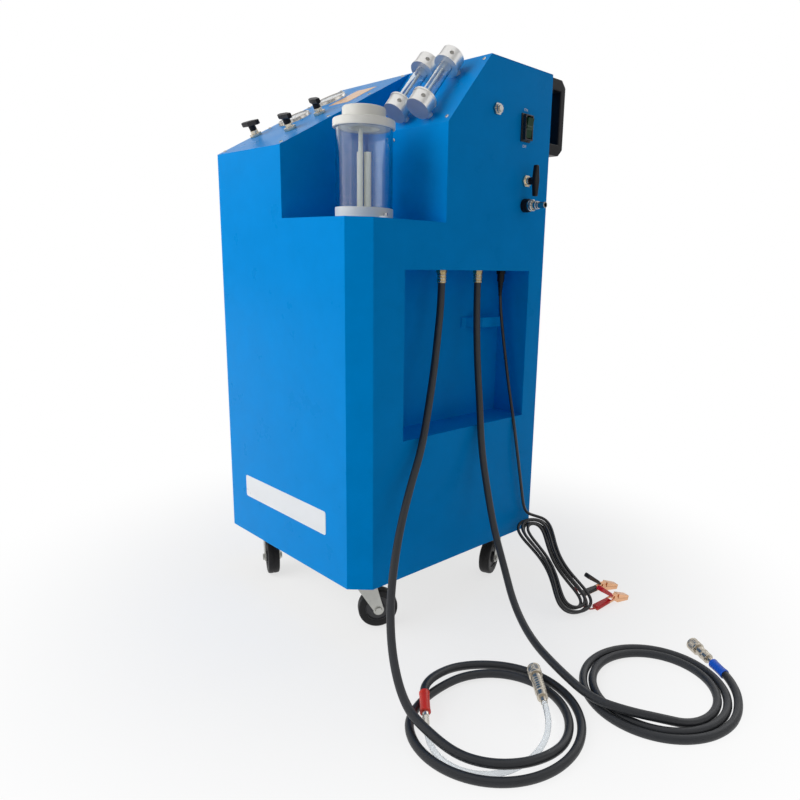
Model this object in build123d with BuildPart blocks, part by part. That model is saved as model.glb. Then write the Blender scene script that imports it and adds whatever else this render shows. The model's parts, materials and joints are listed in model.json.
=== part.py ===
from build123d import *
import math
import os

os.makedirs("parts", exist_ok=True)

# Cabinet, in millimetres. Heights are counted from the sheet bottom, depths from the front face
# and side distances from the left face.
cabinet_width = 449.0
cabinet_depth = 484.5
cabinet_height = 950.0
ride_height = 103.0
sheet = 1.5
ridge_rise = 173.0
front_height = cabinet_height - ridge_rise
ridge_setback = 302.5
corner_chamfer = 33.0
tray_lip = 25.0
overrun = 5.0

# Corner alcove that holds the clear cup
alcove_width = 219.0
alcove_depth = 197.0
alcove_drop = 298.0
alcove_back_drop = 129.0
alcove_left = cabinet_width - alcove_width
alcove_floor = cabinet_height - alcove_drop
alcove_back_height = cabinet_height - alcove_back_drop

# Hose bay in the right side
bay_front = 101.6
bay_back_margin = 44.9
bay_back = cabinet_depth - bay_back_margin
bay_bottom = 266.5
bay_drop = 380.5
bay_top = cabinet_height - bay_drop
bay_depth = 80.0
bracket_setback = 114.6
bracket_place = bay_back - bracket_setback
bracket_foot = 14.0
bracket_slant = 24.0
bracket_bar = 60.0
bracket_standoff = 25.0
bracket_height = 20.0
bracket_drop = 116.5
bracket_level = bay_top - bracket_drop
bracket_sheet = 2.0

# Screws
screw_head_radius = 3.6
screw_head_height = 1.8
screw_radius = 1.5
screw_length = 5.0
screw_inset = 12.0

# Quarter-turn valves
valve_nut_radius = 12.0
valve_nut_height = 6.0
valve_neck_radius = 7.5
valve_neck_height = 12.0
valve_body_size = 32.0
valve_bore_depth = 10.0
stem_radius = 4.0
running_clearance = 0.05
still_gap = 0.3
handle_hub_radius = 7.0
handle_hub_height = 9.0
handle_bar_length = 58.0
handle_bar_width = 15.0
handle_bar_tip_width = 8.0
handle_bar_height = 9.0
handle_bar_round = 2.0
side_valve_setback = 71.7
side_valve_drop = 208.0

# Pressure gauges
gauge_radius = 33.5
gauge_rim = 3.5
gauge_height = 6.0
gauge_can_radius = 30.0
gauge_can_depth = 30.0
gauge_dial_level = 1.0
gauge_lens_thickness = 1.2
gauge_lens_recess = 0.4
needle_length = 21.0
needle_tail = 7.0
needle_width = 2.4
needle_thickness = 1.6
needle_hub_radius = 4.0
needle_pin_radius = 1.5
needle_pin_height = 3.0
gauge_peg_radius = 0.8
gauge_stub_radius = 6.0
gauge_stub_length = 14.0

# Clear cup in the alcove
cup_side_inset = 107.0
cup_depth_place = 98.0
cup_base_radius = 51.0
cup_base_height = 20.0
cup_radius = 50.0
cup_wall = 4.0
cup_glass_height = 132.0
cup_collar_radius = 54.0
cup_collar_height = 16.0
cup_neck_radius = 33.0
cup_neck_wall = 6.0
cup_neck_height = 12.0
lid_radius = 37.7
lid_height = 18.5
wide_pipe_radius = 6.5
slim_pipe_radius = 5.0
short_pipe_height = 94.0
tall_pipe_radius = 4.0
tall_pipe_height = 130.0
pipe_wall = 1.2
wide_pipe_offset = 4.0
slim_pipe_offset = 5.5
tall_pipe_offset = 3.0
tall_pipe_setback = 10.0
cup_bolt_radius = 4.0
cup_bolt_height = 5.0
cup_foot_reach = 66.0
cup_foot_width = 14.0
cup_foot_height = 6.0
cup_edge_round = 2.0

# Flow tubes on the steep panel
flow_left_place = 95.0
flow_spacing = 63.0
flow_low_end = 7.0
flow_axis_height = 28.0
flow_cap_radius = 22.0
flow_cap_length = 28.0
flow_glass_radius = 12.0
flow_glass_wall = 2.0
flow_glass_length = 78.0
flow_rod_radius = 3.5
flow_rod_side = 16.0
flow_rod_rise = 5.0
flow_post_radius = 6.0
flow_port_radius = 4.0
flow_port_depth = 9.0
flow_port_turn = 50.0
flow_lip_radius = 23.5
flow_lip_length = 3.0

# Push button and rocker switch
button_setback = 164.3
button_drop = 90.3
button_nut_radius = 11.2
button_nut_height = 5.0
button_rim_radius = 8.0
button_rim_height = 9.0
button_barrel_radius = 7.2
button_barrel_length = 30.0
button_cap_radius = 5.6
button_cap_proud = 3.0
button_cap_length = 14.0
button_travel = 3.0
button_cap_round = 1.0
rocker_setback = 79.7
rocker_drop = 111.0
rocker_flange_width = 27.0
rocker_flange_height = 51.0
rocker_flange_thickness = 3.0
rocker_wall_width = 23.0
rocker_wall_height = 46.0
rocker_rise = 11.0
rocker_pocket_width = 17.0
rocker_pocket_height = 41.0
rocker_pocket_floor = 0.5
rocker_body_depth = 24.0
rocker_pivot_level = 7.0
rocker_pin_radius = 2.0
rocker_pin_length = 1.6
paddle_width = 16.4
paddle_root_radius = 5.5
paddle_under_level = 5.0
paddle_middle_level = 11.0
paddle_end_level = 12.5
paddle_end_gap = 2.5
rocker_tilt = 9.0

# Drain coupler in the right side
coupler_setback = 70.8
coupler_spacing = 45.8
coupler_drop = side_valve_drop + coupler_spacing
coupler_base_radius = 13.0
coupler_base_length = 14.0
coupler_ring_radius = 11.0
coupler_ring_length = 9.0
coupler_shank_radius = 7.0
coupler_shank_length = 13.0
coupler_nose_radius = 6.0
coupler_nose_length = 16.0
coupler_bore_radius = 3.5

# Rear handles
grip_reach = 46.0
grip_height = 145.0
grip_drop = 149.0
grip_bottom = cabinet_height - grip_drop
grip_width = 26.0
grip_inset = 1.5
grip_bar = 15.0
grip_foot = 22.0
grip_bevel = 13.0

# Swivel casters
caster_side_inset = 55.0
caster_depth_inset = 57.0
wheel_radius = 37.5
wheel_width = 24.0
wheel_edge_round = 4.0
wheel_hub_radius = 12.0
wheel_hub_width = 27.4
axle_radius = 4.0
axle_head_radius = 7.0
axle_head_height = 4.0
caster_trail = 25.0
caster_plate_size = 54.0
caster_plate_thickness = 2.5
caster_race_radius = 19.0
caster_race_height = 7.0
kingpin_radius = 6.0
kingpin_length = 5.3
fork_gap = 28.0
fork_sheet = 2.5
fork_crown_width = 40.0
fork_foot_radius = 10.0
caster_bolt_radius = 4.0
caster_bolt_inset = 8.0

# Tanks, pump and lines inside
tank_side_room = 49.0
tank_depth_room = 84.5
tank_headroom = 182.0
tank_width = (cabinet_width - bay_depth - tank_side_room) / 2
tank_depth = cabinet_depth - tank_depth_room
tank_height = alcove_floor - tank_headroom
tank_wall = 4.0
tank_margin = 8.0
tank_neck_radius = 20.0
tank_round = 12.0
pump_radius = 32.0
pump_length = 95.0
pump_head_radius = 38.0
pump_head_length = 40.0
pump_foot = 60.0
pump_foot_thickness = 6.0
pump_side_place = 40.0
pump_rise = 93.5
pump_depth_gap = 12.0
pump_port_length = 10.0
line_radius = 7.0
line_bore_radius = 5.0
line_bend = 22.0
line_rise = 60.0

# Hoses and power cable
hose_radius = 7.0
floor_gap = 0.2
hose_exit_depth = 228.0
hose_exit_spacing = 100.0
ferrule_radius = 8.5
ferrule_nut_radius = 10.6
ferrule_length = 24.5
spigot_length = 14.0
ferrule_ring_height = 6.0
cable_radius = 3.25
cable_exit_setback = 41.6
gland_radius = 10.0
gland_thread_radius = 6.0
gland_nut_height = 8.0
gland_dome_radius = 7.5
gland_dome_height = 14.0
clear_tube_radius = 4.5
sleeve_radius = 8.5
return_sleeve_length = 40.0
supply_sleeve_length = 34.0
nipple_radius = 5.5
nipple_length = 26.0
quick_tail_length = 12.0
quick_nut_radius = 9.0
quick_nut_length = 12.0
quick_body_radius = 9.5
return_body_length = 40.0
supply_body_length = 14.0
quick_spigot_radius = 8.0
quick_spigot_length = 26.0
quick_bore_radius = 5.0
quick_collar_radius = 11.5
quick_collar_length = 22.0
quick_collar_round = 0.9
lead_radius = 1.55

# Battery clamps
clamp_jaw = 38.0
clamp_grip = 54.0
clamp_spread = 24.0
clamp_pitch = 12.6
clamp_grip_thickness = 5.0
clamp_grip_start = 13.0
clamp_width = 15.0
clamp_jaw_start = 6.5
clamp_jaw_root = 9.0
clamp_jaw_tip = 5.0
clamp_pin_radius = 2.0
clamp_ear = 2.0
clamp_hub_radius = 5.0
clamp_pivot_height = 13.3

# Overall placing: the origin lies on the floor below the middle of the whole machine without its
# cords, so the drain coupler and the rear handles shift the cabinet towards left and front.
coupler_reach = coupler_base_length + coupler_ring_length + coupler_shank_length + coupler_nose_length
x_left = -(cabinet_width + coupler_reach - screw_head_height) / 2
x_right = x_left + cabinet_width
y_front = -(cabinet_depth + grip_reach) / 2
y_back = y_front + cabinet_depth
z_base = ride_height
z_top = z_base + cabinet_height

# Slopes of the two upper panels
control_angle = math.degrees(math.atan2(cabinet_height - front_height, ridge_setback))
control_length = math.hypot(cabinet_height - front_height, ridge_setback)
flow_rise = cabinet_height - alcove_back_height
flow_run = ridge_setback - alcove_depth
flow_angle = math.degrees(math.atan2(flow_rise, flow_run))
flow_length = math.hypot(flow_rise, flow_run)
control_drop = sheet / math.cos(math.radians(control_angle))
flow_drop = sheet / math.cos(math.radians(flow_angle))
flow_width = cabinet_width - alcove_left

# Levels and depths that many sheets share, in the row frame
z_front = z_base + front_height
z_alcove = z_base + alcove_floor
z_alcove_back = z_base + alcove_back_height
y_ridge = y_front + ridge_setback
y_alcove = y_front + alcove_depth
x_alcove = x_left + alcove_left
x_bay_back = x_right - bay_depth
x_bay_middle = x_right - bay_depth / 2


def tilted(origin, angle):
    """A plane whose x runs to the right and whose y climbs to the back at an angle."""
    turn = math.radians(angle)
    return Plane(origin=origin, x_dir=(1, 0, 0), z_dir=(0, -math.sin(turn), math.cos(turn)))


def seat(plane, across, along, out=0.0):
    """A plane at a place on another plane, raised off it."""
    place = plane.from_local_coords((across, along, out))
    return Plane(origin=place, x_dir=plane.x_dir, z_dir=plane.z_dir)


def turned(plane, angle):
    """A plane turned in degrees about its own normal."""
    turn = math.radians(angle)
    way = plane.x_dir * math.cos(turn) + plane.y_dir * math.sin(turn)
    return Plane(origin=plane.origin, x_dir=way, z_dir=plane.z_dir)


def side_seat(setback, drop):
    """A plane on the right side, at distances from the rear edge and the top."""
    return seat(side_face, cabinet_depth - setback, cabinet_height - drop)


control_face = tilted((x_left, y_front, z_front), control_angle)
flow_face = tilted((x_alcove, y_alcove, z_alcove_back), flow_angle)
side_face = Plane(origin=(x_right, y_front, z_base), x_dir=(0, 1, 0), z_dir=(1, 0, 0))
left_face = Plane(origin=(x_left, y_back, z_base), x_dir=(0, -1, 0), z_dir=(-1, 0, 0))
back_face = Plane(origin=(x_right, y_back, z_base), x_dir=(-1, 0, 0), z_dir=(0, 1, 0))
alcove_back_face = Plane(origin=(x_alcove, y_alcove, z_alcove), x_dir=(1, 0, 0), z_dir=(0, -1, 0))

# Places on the panels
valve_place_shares = [(0.09, 0.25), (0.66, 0.24), (0.66, 0.46)]
valve_turns = [0.0, -15.0, -22.0]
gauge_place_shares = [(0.27, 0.46), (0.27, 0.755)]
valve_seats = [seat(control_face, a * alcove_left, b * control_length) for a, b in valve_place_shares]
side_valve_seat = side_seat(side_valve_setback, side_valve_drop)
gauge_seats = [seat(control_face, a * alcove_left, b * control_length) for a, b in gauge_place_shares]
button_seat = side_seat(button_setback, button_drop)
rocker_seat = side_seat(rocker_setback, rocker_drop)
coupler_seat = side_seat(coupler_setback, coupler_drop)
cup_x = x_right - cup_side_inset
cup_y = y_front + cup_depth_place
hose_exits = [y_front + hose_exit_depth, y_front + hose_exit_depth + hose_exit_spacing]
cable_exit = y_front + bay_back - cable_exit_setback
z_bay_top = z_base + bay_top


def edge_seats(plane, width, height, along_shares):
    """Screw seats in two rows along the left and right edges of a panel."""
    rows = [screw_inset, width - screw_inset]
    run = height - 2 * screw_inset
    return [seat(plane, row, screw_inset + share * run) for row in rows for share in along_shares]


control_screws = edge_seats(control_face, alcove_left, control_length, [0.0, 0.36, 0.70, 1.0])
flow_screws = edge_seats(flow_face, flow_width, flow_length, [0.0, 1.0])
alcove_screws = [seat(alcove_back_face, 0.34 * flow_width, 0.89 * (alcove_back_height - alcove_floor))]
left_screws = edge_seats(left_face, cabinet_depth, front_height, [0.05, 0.5, 0.95])
back_screws = edge_seats(back_face, cabinet_width, grip_bottom, [0.05, 0.35, 0.65, 0.95])

middle = (Align.CENTER, Align.CENTER, Align.MIN)
downward = (Align.CENTER, Align.CENTER, Align.MAX)


def wall_outline(front_edge, back_edge):
    """Outline of a side wall in depth and height, below the sloping panel and the top cover."""
    slope = math.tan(math.radians(control_angle))
    front_top = z_front - control_drop + (front_edge - y_front) * slope
    return [
        (front_edge, z_base),
        (back_edge, z_base),
        (back_edge, z_top - control_drop),
        (y_ridge, z_top - control_drop),
        (front_edge, front_top),
    ]


# Corner points of the floor plan, outer and inner side of the sheet
inner_cut = sheet * math.tan(math.radians(22.5))
plan_outer = [
    (x_left, y_front),
    (x_right - corner_chamfer, y_front),
    (x_right, y_front + corner_chamfer),
    (x_right, y_back),
]
plan_inner = [
    (x_right - sheet, y_back),
    (x_right - sheet, y_front + corner_chamfer + inner_cut),
    (x_right - corner_chamfer - inner_cut, y_front + sheet),
    (x_left, y_front + sheet),
]

# Main shell: front, bevelled corner and right side folded from one sheet
with BuildPart() as main_shell:
    with BuildSketch(Plane.XY.offset(z_base)):
        with BuildLine():
            Polyline(*plan_outer, *plan_inner, close=True)
        make_face()
    extrude(amount=cabinet_height)
    # Trim below the control panel and the top cover
    with BuildSketch(Plane.YZ.offset(x_left - overrun)):
        with BuildLine():
            Polyline(
                (y_front - overrun, z_front - control_drop),
                (y_front, z_front - control_drop),
                (y_ridge, z_top - control_drop),
                (y_back + overrun, z_top - control_drop),
                (y_back + overrun, z_top + overrun),
                (y_front - overrun, z_top + overrun),
                close=True,
            )
        make_face()
    extrude(amount=cabinet_width + 2 * overrun, mode=Mode.SUBTRACT)
    # Open the corner alcove, and the slope above it
    with BuildSketch(Plane.YZ.offset(x_alcove)):
        with BuildLine():
            Polyline(
                (y_front - overrun, z_alcove),
                (y_alcove, z_alcove),
                (y_alcove, z_alcove_back - flow_drop),
                (y_ridge, z_top - flow_drop),
                (y_ridge, z_top + overrun),
                (y_front - overrun, z_top + overrun),
                close=True,
            )
        make_face()
    extrude(amount=flow_width + overrun, mode=Mode.SUBTRACT)
    # Opening of the hose bay
    bay_middle = seat(side_face, (bay_front + bay_back) / 2, (bay_bottom + bay_top) / 2)
    with BuildSketch(bay_middle):
        Rectangle(bay_back - bay_front, bay_top - bay_bottom)
    extrude(amount=-(sheet + overrun), mode=Mode.SUBTRACT)
    # Holes for the valve, the coupler, the button and the rocker
    with Locations(side_valve_seat):
        Hole(valve_neck_radius, depth=sheet + overrun)
    with Locations(coupler_seat):
        Hole(coupler_shank_radius, depth=sheet + overrun)
    with Locations(button_seat):
        Hole(button_barrel_radius, depth=sheet + overrun)
    with BuildSketch(rocker_seat):
        Rectangle(rocker_wall_width, rocker_wall_height)
    extrude(amount=-(sheet + overrun), mode=Mode.SUBTRACT)

# Left side panel
with BuildPart() as left_side_panel:
    with BuildSketch(Plane.YZ.offset(x_left)):
        with BuildLine():
            Polyline(*wall_outline(y_front + sheet, y_back - sheet), close=True)
        make_face()
    extrude(amount=sheet)
    with Locations(*left_screws):
        Hole(screw_radius, depth=sheet + overrun)

# Rear panel
with BuildPart() as rear_panel:
    with BuildSketch(Plane.XZ.offset(-(y_back - sheet))):
        with BuildLine():
            Polyline(
                (x_left, z_base),
                (x_right - sheet, z_base),
                (x_right - sheet, z_top - control_drop),
                (x_left, z_top - control_drop),
                close=True,
            )
        make_face()
    extrude(amount=-sheet)
    with Locations(*back_screws):
        Hole(screw_radius, depth=sheet + overrun)

# Base tray with an upturned lip inside the walls
tray_corners = [
    (x_left + sheet, y_front + sheet),
    (x_right - corner_chamfer - inner_cut, y_front + sheet),
    (x_right - sheet, y_front + corner_chamfer + inner_cut),
    (x_right - sheet, y_back - sheet),
    (x_left + sheet, y_back - sheet),
]
with BuildPart() as base_tray:
    with BuildSketch(Plane.XY.offset(z_base)):
        with BuildLine():
            Polyline(*tray_corners, close=True)
        make_face()
    extrude(amount=tray_lip)
    with BuildSketch(Plane.XY.offset(z_base + sheet)):
        with BuildLine():
            Polyline(*tray_corners, close=True)
        make_face()
        offset(amount=-sheet, kind=Kind.INTERSECTION, mode=Mode.REPLACE)
    extrude(amount=tray_lip, mode=Mode.SUBTRACT)

# Top cover behind the ridge, welded to the sheets below it so that its face is bare
with BuildPart() as top_cover:
    with BuildSketch(Plane.XY.offset(z_top - sheet)):
        with BuildLine():
            Polyline(
                (x_left, y_ridge), (x_right, y_ridge), (x_right, y_back), (x_left, y_back), close=True
            )
        make_face()
    extrude(amount=sheet)

# Sloping control panel, with holes for the valves and gauges
with BuildPart() as control_panel:
    with BuildSketch(Plane.YZ.offset(x_left)):
        with BuildLine():
            Polyline(
                (y_front, z_front - control_drop),
                (y_ridge, z_top - control_drop),
                (y_ridge, z_top),
                (y_front, z_front),
                close=True,
            )
        make_face()
    extrude(amount=alcove_left)
    with Locations(*control_screws):
        Hole(screw_radius, depth=sheet + overrun)
    with Locations(*valve_seats):
        Hole(valve_neck_radius, depth=sheet + overrun)
    with Locations(*gauge_seats):
        Hole(gauge_can_radius, depth=sheet + overrun)

# Steep panel that carries the flow tubes
with BuildPart() as flow_panel:
    with BuildSketch(Plane.YZ.offset(x_alcove)):
        with BuildLine():
            Polyline(
                (y_alcove, z_alcove_back - flow_drop),
                (y_ridge, z_top - flow_drop),
                (y_ridge, z_top),
                (y_alcove, z_alcove_back),
                close=True,
            )
        make_face()
    extrude(amount=flow_width)
    with Locations(*flow_screws):
        Hole(screw_radius, depth=sheet + overrun)

# Alcove liner: left wall, back wall and floor in one folded sheet
with BuildPart() as alcove_liner:
    control_slope = math.tan(math.radians(control_angle))
    with BuildSketch(Plane.YZ.offset(x_alcove - sheet)):
        with BuildLine():
            Polyline(
                (y_front + sheet, z_alcove - sheet),
                (y_alcove + sheet, z_alcove - sheet),
                (y_alcove + sheet, z_alcove_back - flow_drop),
                (y_ridge, z_top - flow_drop),
                (y_ridge, z_top - control_drop),
                (y_front + sheet, z_front - control_drop + sheet * control_slope),
                close=True,
            )
        make_face()
    extrude(amount=sheet)
    with BuildSketch(Plane.XZ.offset(-y_alcove)):
        with BuildLine():
            Polyline(
                (x_alcove, z_alcove - sheet),
                (x_right - sheet, z_alcove - sheet),
                (x_right - sheet, z_alcove_back - flow_drop),
                (x_alcove, z_alcove_back - flow_drop),
                close=True,
            )
        make_face()
    extrude(amount=-sheet)
    with BuildSketch(Plane.XY.offset(z_alcove - sheet)):
        with BuildLine():
            Polyline(
                (x_alcove, y_front + sheet),
                (x_right - corner_chamfer - inner_cut, y_front + sheet),
                (x_right - sheet, y_front + corner_chamfer + inner_cut),
                (x_right - sheet, y_alcove),
                (x_alcove, y_alcove),
                close=True,
            )
        make_face()
    extrude(amount=sheet)
    with Locations(*alcove_screws):
        Hole(screw_radius, depth=sheet + overrun)

# Hose bay liner with its welded cable bracket
with BuildPart() as bay_liner:
    with BuildSketch(bay_middle.offset(-sheet)):
        Rectangle(bay_back - bay_front + 2 * sheet, bay_top - bay_bottom + 2 * sheet)
    extrude(amount=-bay_depth)
    with BuildSketch(bay_middle.offset(-sheet)):
        Rectangle(bay_back - bay_front, bay_top - bay_bottom)
    extrude(amount=-(bay_depth - sheet), mode=Mode.SUBTRACT)
    with Locations(*[(x_bay_middle, y, z_bay_top + sheet) for y in hose_exits]):
        Hole(line_radius, depth=sheet + overrun)
    with Locations((x_bay_middle, cable_exit, z_bay_top + sheet)):
        Hole(gland_thread_radius, depth=sheet + overrun)
    bracket_start = y_front + bracket_place
    bracket_run = bracket_start + bracket_foot
    with BuildSketch(Plane.XY.offset(z_base + bracket_level)):
        with BuildLine():
            Polyline(
                (x_bay_back + bracket_sheet / 2, bracket_start),
                (x_bay_back + bracket_sheet / 2, bracket_run),
                (x_bay_back + bracket_standoff, bracket_run + bracket_slant),
                (x_bay_back + bracket_standoff, bracket_run + bracket_slant + bracket_bar),
            )
        trace(line_width=bracket_sheet)
    extrude(amount=bracket_height)

# Panel screws, one solid each
screw_seats = control_screws + flow_screws + alcove_screws + left_screws + back_screws
with BuildPart() as panel_screws:
    with Locations(*screw_seats):
        Cylinder(screw_head_radius, screw_head_height, align=middle)
        Cylinder(screw_radius, screw_length, align=downward)

# Rear handles, a left and a right bridge
grip_seats = [
    seat(back_face, grip_inset, grip_bottom),
    seat(back_face, cabinet_width - grip_inset - grip_width, grip_bottom),
]
with BuildPart() as rear_handles:
    for place in grip_seats:
        profile = Plane(origin=place.origin, x_dir=(0, 1, 0), z_dir=(-1, 0, 0))
        with BuildSketch(profile):
            with BuildLine():
                Polyline(
                    (0, 0),
                    (grip_reach - grip_bevel, 0),
                    (grip_reach, -grip_bevel),
                    (grip_reach, -(grip_height - grip_bevel)),
                    (grip_reach - grip_bevel, -grip_height),
                    (0, -grip_height),
                    close=True,
                )
            make_face()
            with BuildLine():
                Polyline(
                    (0, -grip_foot),
                    (grip_reach - grip_bar, -grip_foot),
                    (grip_reach - grip_bar, -(grip_height - grip_foot)),
                    (0, -(grip_height - grip_foot)),
                    close=True,
                )
            make_face(mode=Mode.SUBTRACT)
        extrude(amount=grip_width)

# Two coolant tanks that stand on the tray, each with a filler neck
tank_step = tank_width + tank_margin
tank_x = x_left + sheet + tank_margin + tank_width / 2
tank_y = y_front + sheet + tank_margin + tank_depth / 2
tank_centres = [(tank_x, tank_y), (tank_x + tank_step, tank_y)]
z_tank = z_base + sheet
z_tank_neck = z_tank + tank_height + tank_neck_radius
with BuildPart() as coolant_tanks:
    with Locations(*[(x, y, z_tank) for x, y in tank_centres]):
        Box(tank_width, tank_depth, tank_height, align=middle)
    fillet(coolant_tanks.edges().filter_by(Axis.Z), radius=tank_round)
    with Locations(*[(x, y, z_tank + tank_height) for x, y in tank_centres]):
        Cylinder(tank_neck_radius, tank_neck_radius, align=middle)
    with Locations(*[(x, y, z_tank + tank_wall) for x, y in tank_centres]):
        Box(
            tank_width - 2 * tank_wall,
            tank_depth - 2 * tank_wall,
            tank_height - 2 * tank_wall,
            align=middle,
            mode=Mode.SUBTRACT,
        )
    with Locations(*[(x, y, z_tank_neck) for x, y in tank_centres]):
        Hole(line_bore_radius, depth=tank_neck_radius + tank_wall + overrun)

# Pump: a motor and a wider head on a foot that bolts to the rear panel
pump_y = y_back - sheet - pump_depth_gap - pump_head_radius
pump_z = z_tank_neck + pump_rise
pump_start = Plane(origin=(x_left + pump_side_place, pump_y, pump_z), x_dir=(0, 1, 0), z_dir=(1, 0, 0))
pump_foot_start = (x_left + pump_side_place, y_back - sheet, pump_z)
pump_foot_face = Plane(origin=pump_foot_start, x_dir=(0, -1, 0), z_dir=(1, 0, 0))
pump_head_start = pump_start.offset(pump_length)
pump_end = pump_head_start.offset(pump_head_length)
pump_outlet = (pump_head_start.origin.X + pump_head_length / 2, pump_y, pump_z)
with BuildPart() as pump:
    with Locations(pump_start):
        Cylinder(pump_radius, pump_length, align=middle)
    with Locations(pump_head_start):
        Cylinder(pump_head_radius, pump_head_length, align=middle)
    with BuildSketch(pump_foot_face):
        with BuildLine():
            Polyline(
                (0, -pump_foot / 2),
                (pump_foot_thickness, -pump_foot / 2),
                (pump_foot_thickness, -pump_foot_thickness / 2),
                (pump_depth_gap + pump_head_radius, -pump_foot_thickness / 2),
                (pump_depth_gap + pump_head_radius, pump_foot_thickness / 2),
                (pump_foot_thickness, pump_foot_thickness / 2),
                (pump_foot_thickness, pump_foot / 2),
                (0, pump_foot / 2),
                close=True,
            )
        make_face()
    extrude(amount=pump_length)
    with Locations(pump_end):
        Cylinder(line_radius, pump_port_length, align=middle)
    with Locations(pump_outlet):
        Cylinder(line_radius, pump_head_radius + pump_port_length, align=middle)

# Lines inside: suction from the left tank, pressure to the supply outlet, return into the right tank
left_neck = (*tank_centres[0], z_tank_neck)
right_neck = (*tank_centres[1], z_tank_neck)
z_spigot = z_bay_top + sheet + spigot_length
return_spigot = (x_bay_middle, hose_exits[0], z_spigot)
supply_spigot = (x_bay_middle, hose_exits[1], z_spigot)
suction_end = pump_end.offset(pump_port_length).origin
pressure_start = (pump_outlet[0], pump_outlet[1], pump_outlet[2] + pump_head_radius + pump_port_length)
suction_side = suction_end.X + line_rise
pressure_level = pressure_start[2] + line_rise
return_level = max(z_spigot, z_tank_neck) + line_rise
line_routes = [
    [
        left_neck,
        (left_neck[0], left_neck[1], pump_z),
        (suction_side, left_neck[1], pump_z),
        (suction_side, pump_y, pump_z),
        (suction_end.X, pump_y, pump_z),
    ],
    [
        pressure_start,
        (pressure_start[0], pressure_start[1], pressure_level),
        (x_bay_middle, pressure_start[1], pressure_level),
        (x_bay_middle, hose_exits[1], pressure_level),
        supply_spigot,
    ],
    [
        return_spigot,
        (return_spigot[0], return_spigot[1], return_level),
        (right_neck[0], right_neck[1], return_level),
        right_neck,
    ],
]
with BuildPart() as inner_lines:
    for route in line_routes:
        with BuildLine() as path:
            FilletPolyline(*route, radius=line_bend)
        with BuildSketch(Plane(origin=route[0], z_dir=(0, 0, 1))):
            Circle(line_radius)
            Circle(line_bore_radius, mode=Mode.SUBTRACT)
        sweep(path=path.wires()[0])

# Quarter-turn valve bodies with nut and neck, three in the control panel and one in the side
all_valve_seats = valve_seats + [side_valve_seat]
with BuildPart() as valve_bodies:
    with Locations(*[place.offset(-sheet) for place in all_valve_seats]):
        Cylinder(valve_neck_radius, sheet + valve_neck_height, align=middle)
        Box(valve_body_size, valve_body_size, valve_body_size, align=downward)
    with BuildSketch(*all_valve_seats):
        RegularPolygon(valve_nut_radius, side_count=6)
    extrude(amount=valve_nut_height)
    with Locations(*[place.offset(valve_neck_height) for place in all_valve_seats]):
        Cylinder(stem_radius + running_clearance, valve_bore_depth, align=downward, mode=Mode.SUBTRACT)

# Valve handles, each a stem, a hub and a tapered cross bar
handle_names = ["valve_handle_left", "valve_handle_middle", "valve_handle_right", "side_valve_handle"]
handles = {}
for name, place, turn in zip(handle_names, all_valve_seats, valve_turns + [90.0]):
    hub_seat = place.offset(valve_neck_height + still_gap)
    bar_seat = turned(hub_seat.offset(handle_hub_height), turn)
    half = handle_bar_length / 2
    with BuildPart() as handle:
        with BuildSketch(bar_seat):
            with BuildLine():
                Polyline(
                    (-half, -handle_bar_tip_width / 2),
                    (0, -handle_bar_width / 2),
                    (half, -handle_bar_tip_width / 2),
                    (half, handle_bar_tip_width / 2),
                    (0, handle_bar_width / 2),
                    (-half, handle_bar_tip_width / 2),
                    close=True,
                )
            make_face()
        extrude(amount=handle_bar_height)
        fillet(handle.edges(), radius=handle_bar_round)
        with Locations(hub_seat):
            Cylinder(handle_hub_radius, handle_hub_height + handle_bar_height / 2, align=middle)
            Cylinder(stem_radius, valve_bore_depth, align=downward)
    handles[name] = handle.part

# Drain coupler that screws into the side, with a hose nipple at its free end
with BuildPart() as drain_coupler:
    with Locations(coupler_seat):
        Cylinder(coupler_base_radius, coupler_base_length, align=middle)
        Cylinder(coupler_shank_radius, coupler_base_length, align=downward)
    ring_seat = coupler_seat.offset(coupler_base_length)
    with Locations(ring_seat):
        Cylinder(coupler_ring_radius, coupler_ring_length, align=middle)
    with Locations(ring_seat.offset(coupler_ring_length)):
        Cylinder(coupler_shank_radius, coupler_shank_length, align=middle)
    with Locations(ring_seat.offset(coupler_ring_length + coupler_shank_length)):
        Cylinder(coupler_nose_radius, coupler_nose_length, align=middle)
    with Locations(coupler_seat.offset(coupler_reach)):
        Hole(coupler_bore_radius, depth=coupler_nose_length + coupler_shank_length)

# Gauge cases with their dials, needle pins and zero pegs
dial_radius = gauge_radius - gauge_rim
peg_turn = 225.0
peg_lead = 6.0
with BuildPart() as gauge_cases:
    with Locations(*gauge_seats):
        Cylinder(gauge_radius, gauge_height, align=middle)
        Cylinder(gauge_can_radius, gauge_can_depth, align=downward)
    with Locations(*[place.offset(-gauge_can_depth) for place in gauge_seats]):
        Cylinder(gauge_stub_radius, gauge_stub_length, align=downward)
    with Locations(*[place.offset(gauge_dial_level) for place in gauge_seats]):
        Cylinder(dial_radius, gauge_height, align=middle, mode=Mode.SUBTRACT)
        Cylinder(needle_pin_radius, needle_pin_height, align=middle)
        with PolarLocations(needle_length, 1, start_angle=peg_turn + peg_lead):
            Cylinder(gauge_peg_radius, needle_pin_height, align=middle)

with BuildPart() as gauge_lenses:
    with Locations(*[place.offset(gauge_height - gauge_lens_recess) for place in gauge_seats]):
        Cylinder(dial_radius, gauge_lens_thickness, align=downward)

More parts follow.
